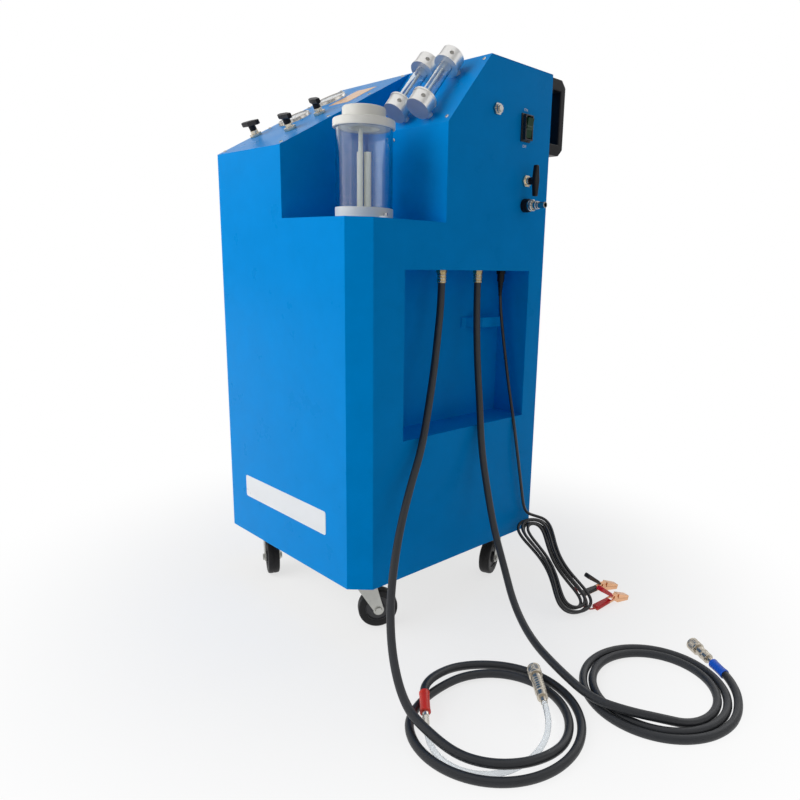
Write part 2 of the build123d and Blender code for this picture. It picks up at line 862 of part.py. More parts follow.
# Needles that turn on the pins
needles = {}
for name, place in zip(["gauge_needle_lower", "gauge_needle_upper"], gauge_seats):
    with BuildPart() as needle:
        with BuildSketch(turned(place.offset(gauge_dial_level + still_gap), peg_turn)):
            Circle(needle_hub_radius)
            with BuildLine():
                Polyline(
                    (-needle_tail, -needle_width),
                    (needle_length, -needle_width / 4),
                    (needle_length, needle_width / 4),
                    (-needle_tail, needle_width),
                    close=True,
                )
            make_face()
            Circle(needle_pin_radius + running_clearance, mode=Mode.SUBTRACT)
        extrude(amount=needle_thickness)
    needles[name] = needle.part

# Clear cup: base on the alcove floor, two standpipes, cylinder, collar and lid
cup_floor = Plane(origin=(cup_x, cup_y, z_alcove))
cup_seat = cup_floor.offset(cup_base_height)
collar_seat = cup_seat.offset(cup_glass_height)
neck_seat = collar_seat.offset(cup_collar_height)
with BuildPart() as cup_base:
    with Locations(cup_floor):
        Cylinder(cup_base_radius, cup_base_height, align=middle)
    with BuildSketch(cup_floor):
        SlotOverall(2 * cup_foot_reach, cup_foot_width)
    extrude(amount=cup_foot_height)
    bolt_place = cup_foot_reach - cup_foot_width / 2
    with BuildSketch(cup_floor.offset(cup_foot_height)):
        with Locations((-bolt_place, 0), (bolt_place, 0)):
            RegularPolygon(cup_bolt_radius, side_count=6)
    extrude(amount=cup_bolt_height)

with BuildPart() as cup_cylinder:
    with Locations(cup_seat):
        Cylinder(cup_radius, cup_glass_height, align=middle)
        Cylinder(cup_radius - cup_wall, cup_glass_height, align=middle, mode=Mode.SUBTRACT)

with BuildPart() as cup_pipes:
    with BuildSketch(cup_seat):
        with Locations((wide_pipe_offset, wide_pipe_offset)):
            Circle(wide_pipe_radius)
            Circle(wide_pipe_radius - pipe_wall, mode=Mode.SUBTRACT)
        with Locations((-slim_pipe_offset, -slim_pipe_offset)):
            Circle(slim_pipe_radius)
            Circle(slim_pipe_radius - pipe_wall, mode=Mode.SUBTRACT)
    extrude(amount=short_pipe_height)
    with BuildSketch(cup_seat):
        with Locations((tall_pipe_offset, -tall_pipe_setback)):
            Circle(tall_pipe_radius)
            Circle(tall_pipe_radius - pipe_wall, mode=Mode.SUBTRACT)
    extrude(amount=tall_pipe_height)

with BuildPart() as cup_collar:
    with Locations(collar_seat):
        Cylinder(cup_collar_radius, cup_collar_height, align=middle)
    fillet(cup_collar.edges().filter_by(GeomType.CIRCLE), radius=cup_edge_round)
    with Locations(neck_seat):
        Cylinder(cup_neck_radius, cup_neck_height, align=middle)
    with Locations(neck_seat.offset(cup_neck_height)):
        Hole(cup_neck_radius - cup_neck_wall, depth=cup_neck_height + cup_collar_height + overrun)

with BuildPart() as cup_lid:
    with Locations(neck_seat.offset(still_gap)):
        Cylinder(lid_radius, lid_height, align=middle)
    fillet(cup_lid.faces().sort_by(Axis.Z)[-1].edges(), radius=cup_edge_round)
    with Locations(neck_seat):
        Cylinder(
            cup_neck_radius + running_clearance,
            cup_neck_height + still_gap,
            align=middle,
            mode=Mode.SUBTRACT,
        )


def tube_seat(across, along):
    """A plane square to the flow tubes, at a place along their axis."""
    place = flow_face.from_local_coords((across, along, flow_axis_height))
    return Plane(origin=place, x_dir=flow_face.x_dir, z_dir=flow_face.y_dir)


def port_seat(across, along):
    """A plane on the round side of a cap, turned from the panel's face to the right."""
    place = tube_seat(across, along + flow_cap_length / 2)
    way = flow_face.z_dir.rotate(Axis((0, 0, 0), flow_face.y_dir), flow_port_turn)
    return Plane(origin=place.origin + way * flow_cap_radius, z_dir=way)


# Flow tubes: lipped end caps on posts, glass tubes and tie rods between them
flow_places = [flow_left_place, flow_left_place + flow_spacing]
flow_high_end = flow_low_end + flow_cap_length + flow_glass_length
cap_spots = [(across, along) for across in flow_places for along in (flow_low_end, flow_high_end)]
post_seats = [seat(flow_face, across, along + flow_cap_length / 2) for across, along in cap_spots]
glass_seats = [tube_seat(across, flow_low_end + flow_cap_length) for across in flow_places]
rod_seats = [seat(place, -flow_rod_side, flow_rod_rise) for place in glass_seats]
lip_seats = [place.offset(way) for place in glass_seats for way in (-flow_lip_length, flow_glass_length)]
with BuildPart() as flow_cap_blocks:
    with Locations(*post_seats):
        Cylinder(flow_post_radius, flow_axis_height, align=middle)
    with Locations(*[tube_seat(a, b) for a, b in cap_spots]):
        Cylinder(flow_cap_radius, flow_cap_length, align=middle)
    with Locations(*lip_seats):
        Cylinder(flow_lip_radius, flow_lip_length, align=middle)
    with Locations(*[port_seat(a, b) for a, b in cap_spots]):
        Hole(flow_port_radius, depth=flow_port_depth)
with BuildPart() as flow_rods:
    with Locations(*rod_seats):
        Cylinder(flow_rod_radius, flow_glass_length, align=middle)
with BuildPart() as flow_glasses:
    with Locations(*glass_seats):
        Cylinder(flow_glass_radius, flow_glass_length, align=middle)
        Cylinder(flow_glass_radius - flow_glass_wall, flow_glass_length, align=middle, mode=Mode.SUBTRACT)
flow_caps = Compound(children=[*flow_cap_blocks.part.solids(), *flow_rods.part.solids()])

# Push button: hexagonal bezel with a sprung cap
button_top = button_seat.offset(button_rim_height)
with BuildPart() as button_bezel:
    with BuildSketch(button_seat):
        RegularPolygon(button_nut_radius, side_count=6)
    extrude(amount=button_nut_height)
    with Locations(button_seat):
        Cylinder(button_rim_radius, button_rim_height, align=middle)
        Cylinder(button_barrel_radius, button_barrel_length, align=downward)
    with Locations(button_top):
        Cylinder(
            button_cap_radius + running_clearance,
            button_cap_length - button_cap_proud + button_travel + still_gap,
            align=downward,
            mode=Mode.SUBTRACT,
        )
with BuildPart() as button_cap:
    with Locations(button_top.offset(button_cap_proud)):
        Cylinder(button_cap_radius, button_cap_length, align=downward)
    fillet(button_cap.faces().sort_by(Axis.X)[-1].edges(), radius=button_cap_round)

# Rocker switch: housing with a pocket, and a paddle on two stub pins
pivot_seat = rocker_seat.offset(rocker_pivot_level)
pivot_axis = Plane(origin=pivot_seat.origin, x_dir=(0, 0, 1), z_dir=(0, 1, 0))
pin_bore_length = rocker_pocket_width + 2 * rocker_pin_length + 2 * still_gap
with BuildPart() as rocker_housing:
    with BuildSketch(rocker_seat.offset(-rocker_body_depth)):
        Rectangle(rocker_wall_width, rocker_wall_height)
    extrude(amount=rocker_body_depth + rocker_rise)
    with BuildSketch(rocker_seat):
        Rectangle(rocker_flange_width, rocker_flange_height)
    extrude(amount=rocker_flange_thickness)
    with BuildSketch(rocker_seat.offset(rocker_pocket_floor)):
        Rectangle(rocker_pocket_width, rocker_pocket_height)
    extrude(amount=rocker_rise, mode=Mode.SUBTRACT)
    with Locations(pivot_axis):
        Cylinder(rocker_pin_radius + running_clearance, pin_bore_length, mode=Mode.SUBTRACT)
paddle_half = rocker_pocket_height / 2 - paddle_end_gap
paddle_axis = turned(pivot_axis, rocker_tilt)
with BuildPart() as rocker_paddle:
    with BuildSketch(paddle_axis):
        Circle(paddle_root_radius)
        with BuildLine():
            Polyline(
                (-paddle_half, paddle_under_level - rocker_pivot_level),
                (-paddle_half, paddle_end_level - rocker_pivot_level),
                (0, paddle_middle_level - rocker_pivot_level),
                (paddle_half, paddle_end_level - rocker_pivot_level),
                (paddle_half, paddle_under_level - rocker_pivot_level),
                close=True,
            )
        make_face()
    extrude(amount=paddle_width / 2, both=True)
    with Locations(pivot_axis):
        Cylinder(rocker_pin_radius, rocker_pocket_width + 2 * rocker_pin_length)

# Swivel casters: plates below the tray, then one fork and one wheel at each corner
caster_names = ["front_left", "front_right", "back_right", "back_left"]
caster_places = [
    (x_left + caster_side_inset, y_front + caster_depth_inset),
    (x_right - caster_side_inset, y_front + caster_depth_inset),
    (x_right - caster_side_inset, y_back - caster_depth_inset),
    (x_left + caster_side_inset, y_back - caster_depth_inset),
]
caster_turns = [-24.0, 58.0, -68.0, -35.0]
z_race_top = z_base - caster_plate_thickness
z_race = z_race_top - caster_race_height
z_crown = z_race - still_gap
with BuildPart() as caster_plates:
    with Locations(*[(x, y, z_base) for x, y in caster_places]):
        Box(caster_plate_size, caster_plate_size, caster_plate_thickness, align=downward)
    with Locations(*[(x, y, z_race_top) for x, y in caster_places]):
        Cylinder(caster_race_radius, caster_race_height, align=downward)
        bolt_step = caster_plate_size - 2 * caster_bolt_inset
        with GridLocations(bolt_step, bolt_step, 2, 2):
            Cylinder(caster_bolt_radius, caster_bolt_radius, align=downward)
    with Locations(*[(x, y, z_race) for x, y in caster_places]):
        Cylinder(
            kingpin_radius + running_clearance,
            kingpin_length,
            align=middle,
            mode=Mode.SUBTRACT,
        )

caster_pieces = {}
fork_half = fork_gap / 2 + fork_sheet
for name, (x, y), turn in zip(caster_names, caster_places, caster_turns):
    trail = (math.cos(math.radians(turn)), math.sin(math.radians(turn)), 0)
    across = (math.sin(math.radians(turn)), -math.cos(math.radians(turn)), 0)
    upright = Plane(origin=(x, y, 0), x_dir=trail, z_dir=across)
    crown = Plane(origin=(x, y, z_crown), x_dir=trail, z_dir=(0, 0, 1))
    axle_seat = seat(upright, caster_trail, wheel_radius)
    with BuildPart() as fork:
        with BuildSketch(crown):
            Circle(fork_crown_width / 2)
            Rectangle(fork_crown_width, 2 * fork_half)
        extrude(amount=-fork_sheet)
        with Locations(crown):
            Cylinder(kingpin_radius, kingpin_length, align=middle)
        for side in (fork_gap / 2, -fork_half):
            with BuildSketch(upright.offset(side)):
                with BuildLine():
                    Polyline(
                        (-fork_crown_width / 2, z_crown),
                        (fork_crown_width / 2, z_crown),
                        (caster_trail + fork_foot_radius, wheel_radius),
                        (caster_trail - fork_foot_radius, wheel_radius),
                        close=True,
                    )
                make_face()
                with Locations((caster_trail, wheel_radius)):
                    Circle(fork_foot_radius)
                    Circle(axle_radius, mode=Mode.SUBTRACT)
            extrude(amount=fork_sheet)
    with BuildPart() as axle:
        with Locations(axle_seat):
            Cylinder(axle_radius, 2 * fork_half)
        for end, way in ((fork_half, 1), (-fork_half, -1)):
            with BuildSketch(axle_seat.offset(end)):
                RegularPolygon(axle_head_radius, side_count=6)
            extrude(amount=way * axle_head_height)
    with BuildPart() as wheel:
        with Locations(axle_seat):
            Cylinder(wheel_radius, wheel_width)
        fillet(wheel.edges().filter_by(GeomType.CIRCLE), radius=wheel_edge_round)
        with Locations(axle_seat):
            Cylinder(wheel_hub_radius, wheel_hub_width)
            Cylinder(axle_radius + running_clearance, wheel_hub_width, mode=Mode.SUBTRACT)
    caster_pieces["caster_fork_" + name] = Compound(children=[fork.part.solid(), axle.part.solid()])
    caster_pieces["caster_wheel_" + name] = wheel.part

# Fittings in the ceiling of the hose bay: two hose ferrules and a cable gland
with BuildPart() as bay_fittings:
    with Locations(*[(x_bay_middle, y, z_bay_top) for y in hose_exits]):
        Cylinder(ferrule_radius, ferrule_length, align=downward)
        Cylinder(line_radius, sheet + spigot_length, align=middle)
    with BuildSketch(Plane.XY.offset(z_bay_top)):
        with Locations(*[(x_bay_middle, y) for y in hose_exits]):
            RegularPolygon(ferrule_nut_radius, side_count=6)
    extrude(amount=-ferrule_ring_height)
    with Locations((x_bay_middle, cable_exit, z_bay_top)):
        Cylinder(gland_thread_radius, sheet + spigot_length, align=middle)
        Cylinder(gland_dome_radius, gland_nut_height + gland_dome_height, align=downward)
    with BuildSketch(Plane.XY.offset(z_bay_top)):
        with Locations((x_bay_middle, cable_exit)):
            RegularPolygon(gland_radius, side_count=6)
    extrude(amount=-gland_nut_height)


def corner_radii(points):
    """The largest even bend at each corner of a free route."""
    radii = []
    for before, corner, after in zip(points, points[1:], points[2:]):
        first = Vector(corner) - Vector(before)
        second = Vector(after) - Vector(corner)
        half_turn = math.radians(first.get_angle(second) / 2)
        radii.append(0.45 * min(first.length, second.length) / math.tan(half_turn))
    return radii


def compare(name, path, piece, radius):
    """Prints a tube's length, and its volume against section times length."""
    share = piece.volume / (math.pi * radius**2 * path.length)
    print(name, "length", round(path.length, 1), "volume share", round(share, 4))


def free_tube(name, points, radius):
    """A free stretch of cord or hose: straight runs joined by tangent arcs."""
    with BuildPart() as stretch:
        with BuildLine() as path:
            FilletPolyline(*points, radius=corner_radii(points))
        with BuildSketch(Plane(origin=points[0], z_dir=Vector(points[1]) - Vector(points[0]))):
            Circle(radius)
        sweep(path=path.wires()[0])
    print(name, "radii", [round(bend) for bend in corner_radii(points)])
    print(name, "runs", [round((Vector(b) - Vector(a)).length) for a, b in zip(points, points[1:])])
    compare(name, path.wires()[0], stretch.part, radius)
    return stretch.part


def ease(turn, start, stop):
    """The share of a smooth change that is done at a turn between start and stop."""
    part = min(max((turn - start) / (stop - start), 0.0), 1.0)
    return part * part * (3 - 2 * part)


def join_arcs(start, start_way, end, end_way):
    """Two tangent arcs from one place and direction to another."""
    chord = end - start
    both = start_way + end_way
    bend = 2 * (1 - start_way.dot(end_way))
    along = chord.dot(both)
    reach = chord.dot(chord)
    if bend < 1e-9:
        arm = reach / (2 * along)
    else:
        arm = (math.sqrt(along**2 + bend * reach) - along) / bend
    middle = (start + end + (start_way - end_way) * arm) / 2
    middle_way = (end - end_way * arm - start - start_way * arm).normalized()
    TangentArc(start, middle, tangent=start_way)
    TangentArc(middle, end, tangent=middle_way)


def wound_tube(name, place, turns, radius, first_way=None, last_way=None):
    """A wound cord whose place at each turn comes from a function. Its ends run straight."""
    step = 0.01
    stations = [place(turn) for turn in turns]
    ways = [(place(turn + step) - place(turn - step)).normalized() for turn in turns]
    if first_way is not None:
        ways[0] = first_way
    if last_way is not None:
        ways[-1] = last_way
    straight = 2 * radius
    inner = [stations[0] + ways[0] * straight, *stations[1:-1], stations[-1] - ways[-1] * straight]
    with BuildPart() as wound:
        with BuildLine() as path:
            Line(stations[0], inner[0])
            for start, start_way, end, end_way in zip(inner, ways, inner[1:], ways[1:]):
                join_arcs(start, start_way, end, end_way)
            Line(inner[-1], stations[-1])
        with BuildSketch(Plane(origin=stations[0], z_dir=ways[0])):
            Circle(radius)
        sweep(path=path.wires()[0])
    wire = path.wires()[0]
    count = round(wire.length / (3 * radius))
    spots = [wire.position_at(index / count) for index in range(count + 1)]
    apart = max(8, round(count * 60 / (turns[-1] - turns[0])))
    gap = min((a - b).length for i, a in enumerate(spots) for b in spots[i + apart:]) - 2 * radius
    print(name, "least gap", round(gap, 2), "lowest", round(min(s.Z for s in spots) - radius, 2))
    compare(name, wire, wound.part, radius)
    return wound.part, stations[0], ways[0], stations[-1], ways[-1]


# Return coil: an inner turn, an outer turn, and an end that climbs over both
return_centre = (497.2, -234.4)
return_inner_radius = 113.0
return_outer_radius = 137.0
return_shift = 5.0
return_start = 248.0
return_stop = 928.0
return_swell = 11.2
return_entry = 22.0
return_crossing = 15.2
tube_room = 2 * clear_tube_radius + 0.8


def return_place(turn):
    """Place of the return coil's middle line at a turn in degrees."""
    outward = ease(turn, 545.0, 605.0) - ease(turn, 870.0, 928.0)
    bend = math.radians(turn)
    radius = return_inner_radius + (return_outer_radius - return_inner_radius) * outward
    radius += return_shift * math.cos(bend - math.radians(30.0)) * (1 - ease(turn, 545.0, 605.0))
    radius += return_swell * (1 - ease(turn, 228.0, 285.0))
    height = hose_radius + floor_gap
    height += tube_room * (1 - ease(turn, 335.0, 385.0))
    height += (return_entry - hose_radius - tube_room) * (1 - ease(turn, 248.0, 280.0))
    height += return_crossing * ease(turn, 868.0, 905.0)
    return Vector(
        return_centre[0] + radius * math.cos(bend), return_centre[1] + radius * math.sin(bend), height
    )


# Supply coil: its start crosses over the outer turns, then it spirals outward on the floor
supply_centre = (636.1, 16.4)
supply_inner_radius = 92.0
supply_pitch = 16.0
supply_lead = 38.5
supply_start = 249.6
supply_stop = 1139.6
supply_first_rise = 15.0
supply_last_rise = 5.0


def supply_place(turn):
    """Place of the supply coil's middle line at a turn in degrees."""
    left = 1 - min(max((turn - supply_start) / 62.0, 0.0), 1.0)
    radius = supply_inner_radius + supply_pitch * (turn - 243.0) / 360 + supply_lead * left * left
    height = hose_radius + floor_gap
    height += supply_first_rise * (1 - ease(turn, 288.0, 340.0))
    height += supply_last_rise * ease(turn, 1085.0, 1139.6)
    bend = math.radians(turn)
    return Vector(
        supply_centre[0] + radius * math.cos(bend), supply_centre[1] + radius * math.sin(bend), height
    )


# Free stretches of both hoses, from the ferrules to their coils on the floor
z_ferrule = z_bay_top - ferrule_length
return_first_run = 34.0
supply_first_run = 38.0
return_coil_start = return_place(return_start)
return_route = [
    (x_bay_middle, hose_exits[0], z_ferrule),
    (x_bay_middle, hose_exits[0], z_ferrule - return_first_run),
    (166.0, -49.0, 562.0),
    (179.0, -70.0, 493.0),
    (196.0, -99.0, 423.0),
    (214.0, -131.0, 355.0),
    (229.0, -172.0, 292.0),
    (247.0, -210.0, 232.0),
    (273.0, -247.0, 177.0),
    (306.0, -282.0, 127.0),
    (345.0, -311.0, 84.0),
    (382.0, -329.0, 50.0),
    (416.0, -338.5, 28.5),
    tuple(return_coil_start),
]
supply_coil_start = supply_place(supply_start)
supply_route = [
    (x_bay_middle, hose_exits[1], z_ferrule),
    (x_bay_middle, hose_exits[1], z_ferrule - supply_first_run),
    (164.0, 60.0, 558.0),
    (177.0, 52.0, 484.0),
    (200.0, 38.0, 407.0),
    (219.0, 26.0, 327.0),
    (244.0, 20.0, 248.0),
    (276.0, 9.0, 176.0),
    (320.0, -8.0, 117.0),
    (370.0, -36.0, 69.0),
    (434.0, -64.0, 39.0),
    (510.0, -86.0, 27.0),
    tuple(supply_coil_start),
]

sweeps = {}
sweeps["return_hose"] = free_tube("return_hose", return_route, hose_radius)
sweeps["supply_hose"] = free_tube("supply_hose", supply_route, hose_radius)


def run_out(route):
    """Direction of the last run of a route."""
    return (Vector(route[-1]) - Vector(route[-2])).normalized()


return_turns = [return_start] + [return_start + 32.0 + 24.0 * i for i in range(27)] + [return_stop]
supply_turns = [supply_start] + [supply_start + 26.0 + 27.0 * i for i in range(32)] + [supply_stop]
return_end_way = Vector(0.76, -0.64, -0.16).normalized()
sweeps["return_coil"], _, _, return_end, return_way = wound_tube(
    "return_coil", return_place, return_turns, hose_radius, run_out(return_route), return_end_way
)
sweeps["supply_coil"], _, _, supply_end, supply_way = wound_tube(
    "supply_coil", supply_place, supply_turns, hose_radius, run_out(supply_route)
)


def line_seat(place, way):
    """A plane square to a direction, at a place."""
    return Plane(origin=place, z_dir=way)


def stack(first_seat, rings):
    """Coaxial cylinders, given as radius and length, one behind the other."""
    level = 0.0
    for radius, length in rings:
        with Locations(first_seat.offset(level)):
            Cylinder(radius, length, align=middle)
        level += length


# Ends of the hoses: a coloured sleeve, then a nipple or a quick coupler with its sliding collar
return_sleeve_seat = line_seat(return_end, return_way)
nipple_end = return_sleeve_seat.offset(return_sleeve_length + nipple_length)
tail_place = Vector(547.0, -173.0, 26.2)
tail_way = Vector(-0.752, 0.659, 0.0).normalized()
tail_seat = line_seat(tail_place, tail_way)
supply_sleeve_seat = line_seat(supply_end, supply_way)
supply_body_seat = supply_sleeve_seat.offset(supply_sleeve_length)
return_rings = [
    (nipple_radius, quick_tail_length),
    (quick_nut_radius, quick_nut_length),
    (quick_body_radius, return_body_length),
    (quick_spigot_radius, quick_spigot_length),
]
supply_rings = [
    (nipple_radius, quick_tail_length),
    (quick_nut_radius, quick_nut_length),
    (quick_body_radius, supply_body_length),
    (quick_spigot_radius, quick_spigot_length),
]
return_reach = sum(length for _, length in return_rings)
supply_reach = sum(length for _, length in supply_rings)
with BuildPart() as return_hose_end:
    stack(return_sleeve_seat, [(sleeve_radius, return_sleeve_length), (nipple_radius, nipple_length)])
with BuildPart() as return_quick:
    stack(tail_seat, return_rings)
    with Locations(tail_seat.offset(return_reach)):
        Hole(quick_bore_radius, depth=quick_spigot_length)
with BuildPart() as supply_coupler:
    stack(supply_sleeve_seat, [(sleeve_radius, supply_sleeve_length)])
    stack(supply_body_seat, supply_rings)
    with Locations(supply_body_seat.offset(supply_reach)):
        Hole(quick_bore_radius, depth=quick_spigot_length)
return_coupler = Compound(children=[return_hose_end.part.solid(), return_quick.part.solid()])

collars = {}
collar_seats = {
    "return_coupler_collar": tail_seat.offset(return_reach - quick_collar_length),
    "supply_coupler_collar": supply_body_seat.offset(supply_reach - quick_collar_length),
}
for name, place in collar_seats.items():
    with BuildPart() as collar:
        with Locations(place):
            Cylinder(quick_collar_radius, quick_collar_length, align=middle)
        fillet(collar.edges().filter_by(GeomType.CIRCLE), radius=quick_collar_round)
        with Locations(place.offset(quick_collar_length)):
            Hole(quick_spigot_radius + running_clearance, depth=quick_collar_length)
    collars[name] = collar.part

# Clear tube from the nipple, under the coil's first turn, up to the quick coupler
tube_start = nipple_end.origin
tube_first_run = 12.0
tube_last_run = 19.0
clear_route = [
    tuple(tube_start),
    tuple(tube_start + return_way * tube_first_run),
    (478.0, -348.5, 5.4),
    (507.0, -356.0, 4.75),
    (537.0, -351.5, 4.7),
    (563.0, -337.0, 4.7),
    (583.0, -311.0, 4.8),
    (593.0, -280.0, 6.5),
    (595.0, -250.0, 10.5),
    (590.0, -224.0, 16.5),
    (577.5, -202.0, 22.5),
    tuple(tail_place - tail_way * tube_last_run),
    tuple(tail_place),
]
sweeps["clear_tube"] = free_tube("clear_tube", clear_route, clear_tube_radius)

# Power cable from the gland down to the hank
cable_start = (x_bay_middle, cable_exit, z_bay_top - gland_nut_height - gland_dome_height)
cable_first_run = 30.0
hank_centre = Vector(314.0, 162.0, 68.8)
hank_up = Vector(-200.0, 64.0, 133.0).normalized()
hank_across = Vector(64.0, 200.0, 0.0).normalized()
hank_out = hank_up.cross(hank_across)
hank_half_length = 121.7
hank_layer = 8.0
hank_first = 12.0
hank_last = 1540.0
hank_reverse = (hank_first + hank_last) / 2
hank_climb = 75.0
hank_waist = 4.2
hank_waist_step = 8.8
hank_lobe = 38.0
hank_lobe_step = 17.0
hank_reach_step = 10.0


def hank_place(turn):
    """Place of the hank's middle line: loops drawn in at the waist, inward and then outward."""
    rung = abs(turn - hank_reverse) / 360
    climb = ease(turn, hank_reverse - hank_climb, hank_reverse + hank_climb) - 0.5
    bend = math.radians(turn)
    waist = hank_waist + hank_waist_step * rung
    lobe = hank_lobe + hank_lobe_step * rung
    reach = hank_half_length - hank_reach_step * (2 - rung)
    along = reach * math.cos(bend)
    across = math.sin(bend) * (waist + lobe * math.cos(bend) ** 2)
    return hank_centre + hank_up * along + hank_across * across + hank_out * (hank_layer * climb)


cable_route = [
    cable_start,
    (x_bay_middle, cable_exit, cable_start[2] - cable_first_run),
    (163.0, 137.0, 567.0),
    (171.5, 140.5, 510.0),
    (183.0, 141.0, 452.0),
    (196.0, 141.5, 395.0),
    (206.5, 145.0, 338.0),
    (210.5, 153.0, 286.0),
    (212.0, 162.5, 240.0),
    (212.5, 171.0, 202.0),
    (212.0, 178.5, 173.5),
    (211.8, 186.5, 154.0),
    (214.6, 196.8, 142.6),
    tuple(hank_place(hank_first)),
]
sweeps["power_cable"] = free_tube("power_cable", cable_route, cable_radius)
hank_count = round((hank_last - hank_first) / 15.0)
hank_stations = [hank_first + (hank_last - hank_first) * i / hank_count for i in range(hank_count + 1)]
hank_piece, _, _, hank_end, hank_way = wound_tube(
    "cable_hank", hank_place, hank_stations, cable_radius, run_out(cable_route)
)

# Battery clamps: a lower and an upper lever on one pin. Each lies on its lower grip and its jaws
clamp_feet = {"black": (365.5, 206.0), "red": (416.5, 176.5)}
clamp_ways = {"black": Vector(0.323, 0.946).normalized(), "red": Vector(0.215, 0.977).normalized()}
ear_start = clamp_width / 2 - clamp_ear
web_half = ear_start - still_gap
grip_run = clamp_grip * math.cos(math.radians(clamp_spread))
inner_web = [(-web_half, 2 * web_half)]
outer_webs = [(-clamp_width / 2, clamp_ear), (ear_start, clamp_ear)]
pieces = {}
lever_seats = {}
for colour, (foot_x, foot_y) in clamp_feet.items():
    way = clamp_ways[colour]
    pivot = Vector(foot_x, foot_y, clamp_pivot_height) + way * grip_run
    level = Plane(origin=pivot, x_dir=way, z_dir=way.cross(Vector(0, 0, 1)))
    frame = turned(level, -clamp_pitch)
    for lever, side, webs in (("lower", -1, outer_webs), ("upper", 1, inner_web)):
        grip = turned(frame, -side * clamp_spread)
        with BuildPart() as half:
            with BuildSketch(grip):
                with BuildLine():
                    Polyline(
                        (-clamp_grip_start, -clamp_grip_thickness / 2),
                        (-clamp_grip, -clamp_grip_thickness / 2),
                        (-clamp_grip, clamp_grip_thickness / 2),
                        (-clamp_grip_start, clamp_grip_thickness / 2),
                        close=True,
                    )
                make_face()
            with BuildSketch(frame):
                with BuildLine():
                    Polyline(
                        (clamp_jaw_start, side * still_gap / 2),
                        (clamp_jaw, side * still_gap / 2),
                        (clamp_jaw, side * clamp_jaw_tip),
                        (clamp_jaw_start, side * clamp_jaw_root),
                        close=True,
                    )
                make_face()
            extrude(amount=clamp_width / 2, both=True)
            for start, thickness in webs:
                with BuildSketch(frame.offset(start)):
                    Circle(clamp_hub_radius)
                    with BuildLine():
                        Polyline(
                            (0, side * still_gap / 2),
                            (clamp_jaw_start, side * still_gap / 2),
                            (clamp_jaw_start, side * clamp_jaw_root),
                            (0, side * clamp_hub_radius),
                            close=True,
                        )
                    make_face()
                with BuildSketch(grip.offset(start)):
                    with BuildLine():
                        Polyline(
                            (0, -clamp_grip_thickness / 2),
                            (-clamp_grip_start, -clamp_grip_thickness / 2),
                            (-clamp_grip_start, clamp_grip_thickness / 2),
                            (0, clamp_grip_thickness / 2),
                            close=True,
                        )
                    make_face()
                extrude(amount=thickness)
            if side > 0:
                with Locations(frame):
                    Cylinder(clamp_pin_radius + running_clearance, clamp_width, mode=Mode.SUBTRACT)
            else:
                with Locations(frame):
                    Cylinder(clamp_pin_radius, clamp_width)
                lever_seats[colour] = grip
        pieces["clamp_" + colour + "_" + lever] = half.part

# Leads from the end of the cable to the lower grips, one beside the other
lead_side = hank_way.cross(Vector(0, 0, 1)).normalized() * (lead_radius + floor_gap / 2)
lead_routes = {
    "black": [
        (349.3, 181.3, 44.6),
        (353.6, 181.5, 38.1),
        (356.6, 182.2, 30.8),
        (358.4, 183.2, 23.2),
        (358.8, 184.6, 15.2),
        (359.4, 188.1, 8.0),
        (361.4, 194.1, 2.7),
    ],
    "red": [
        (350.0, 177.3, 44.8),
        (356.5, 176.4, 38.4),
        (363.5, 175.0, 30.4),
        (370.5, 173.0, 22.6),
        (377.5, 170.2, 15.6),
        (384.5, 166.9, 9.6),
        (391.9, 163.4, 5.2),
        (396.9, 161.1, 3.0),
        (402.4, 160.6, 2.0),
        (407.7, 162.1, 1.9),
        (412.1, 165.4, 2.1),
        (415.1, 170.1, 2.6),
    ],
}
lead_start_run = 8.0
leads = []
for colour, side in (("black", -1), ("red", 1)):
    start = hank_end + lead_side * side
    grip_end = Vector(lever_seats[colour].from_local_coords((-clamp_grip, 0, 0)))
    route = [
        tuple(start),
        tuple(start + hank_way * lead_start_run),
        *lead_routes[colour],
        tuple(grip_end + clamp_ways[colour] * lead_radius),
    ]
    leads.append(free_tube(colour + "_lead", route, lead_radius))
cable_hank = Compound(children=[hank_piece.solid(), *[lead.solid() for lead in leads]])

pieces.update(handles)
pieces.update(needles)
pieces.update(caster_pieces)
pieces.update(sweeps)
pieces.update(collars)
pieces.update(
    main_shell=main_shell.part,
    left_side_panel=left_side_panel.part,
    rear_panel=rear_panel.part,
    base_tray=base_tray.part,
    top_cover=top_cover.part,
    control_panel=control_panel.part,
    flow_panel=flow_panel.part,
    alcove_liner=alcove_liner.part,
    bay_liner=bay_liner.part,
    panel_screws=panel_screws.part,
    rear_handles=rear_handles.part,
    coolant_tanks=coolant_tanks.part,
    pump=pump.part,
    inner_lines=inner_lines.part,
    valve_bodies=valve_bodies.part,
    drain_coupler=drain_coupler.part,
    gauge_cases=gauge_cases.part,
    gauge_lenses=gauge_lenses.part,
    cup_base=cup_base.part,
    cup_cylinder=cup_cylinder.part,
    cup_pipes=cup_pipes.part,
    cup_collar=cup_collar.part,
    cup_lid=cup_lid.part,
    flow_caps=flow_caps,
    flow_glasses=flow_glasses.part,
    button_bezel=button_bezel.part,
    button_cap=button_cap.part,
    rocker_housing=rocker_housing.part,
    rocker_paddle=rocker_paddle.part,
    caster_plates=caster_plates.part,
    bay_fittings=bay_fittings.part,
    return_coupler=return_coupler,
    supply_coupler=supply_coupler.part,
    cable_hank=cable_hank,
)
for name, piece in pieces.items():
    piece.label = name
    export_step(piece, "parts/" + name + ".step")
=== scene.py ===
import json
import math

import bmesh
import bpy
from mathutils import Matrix, Vector


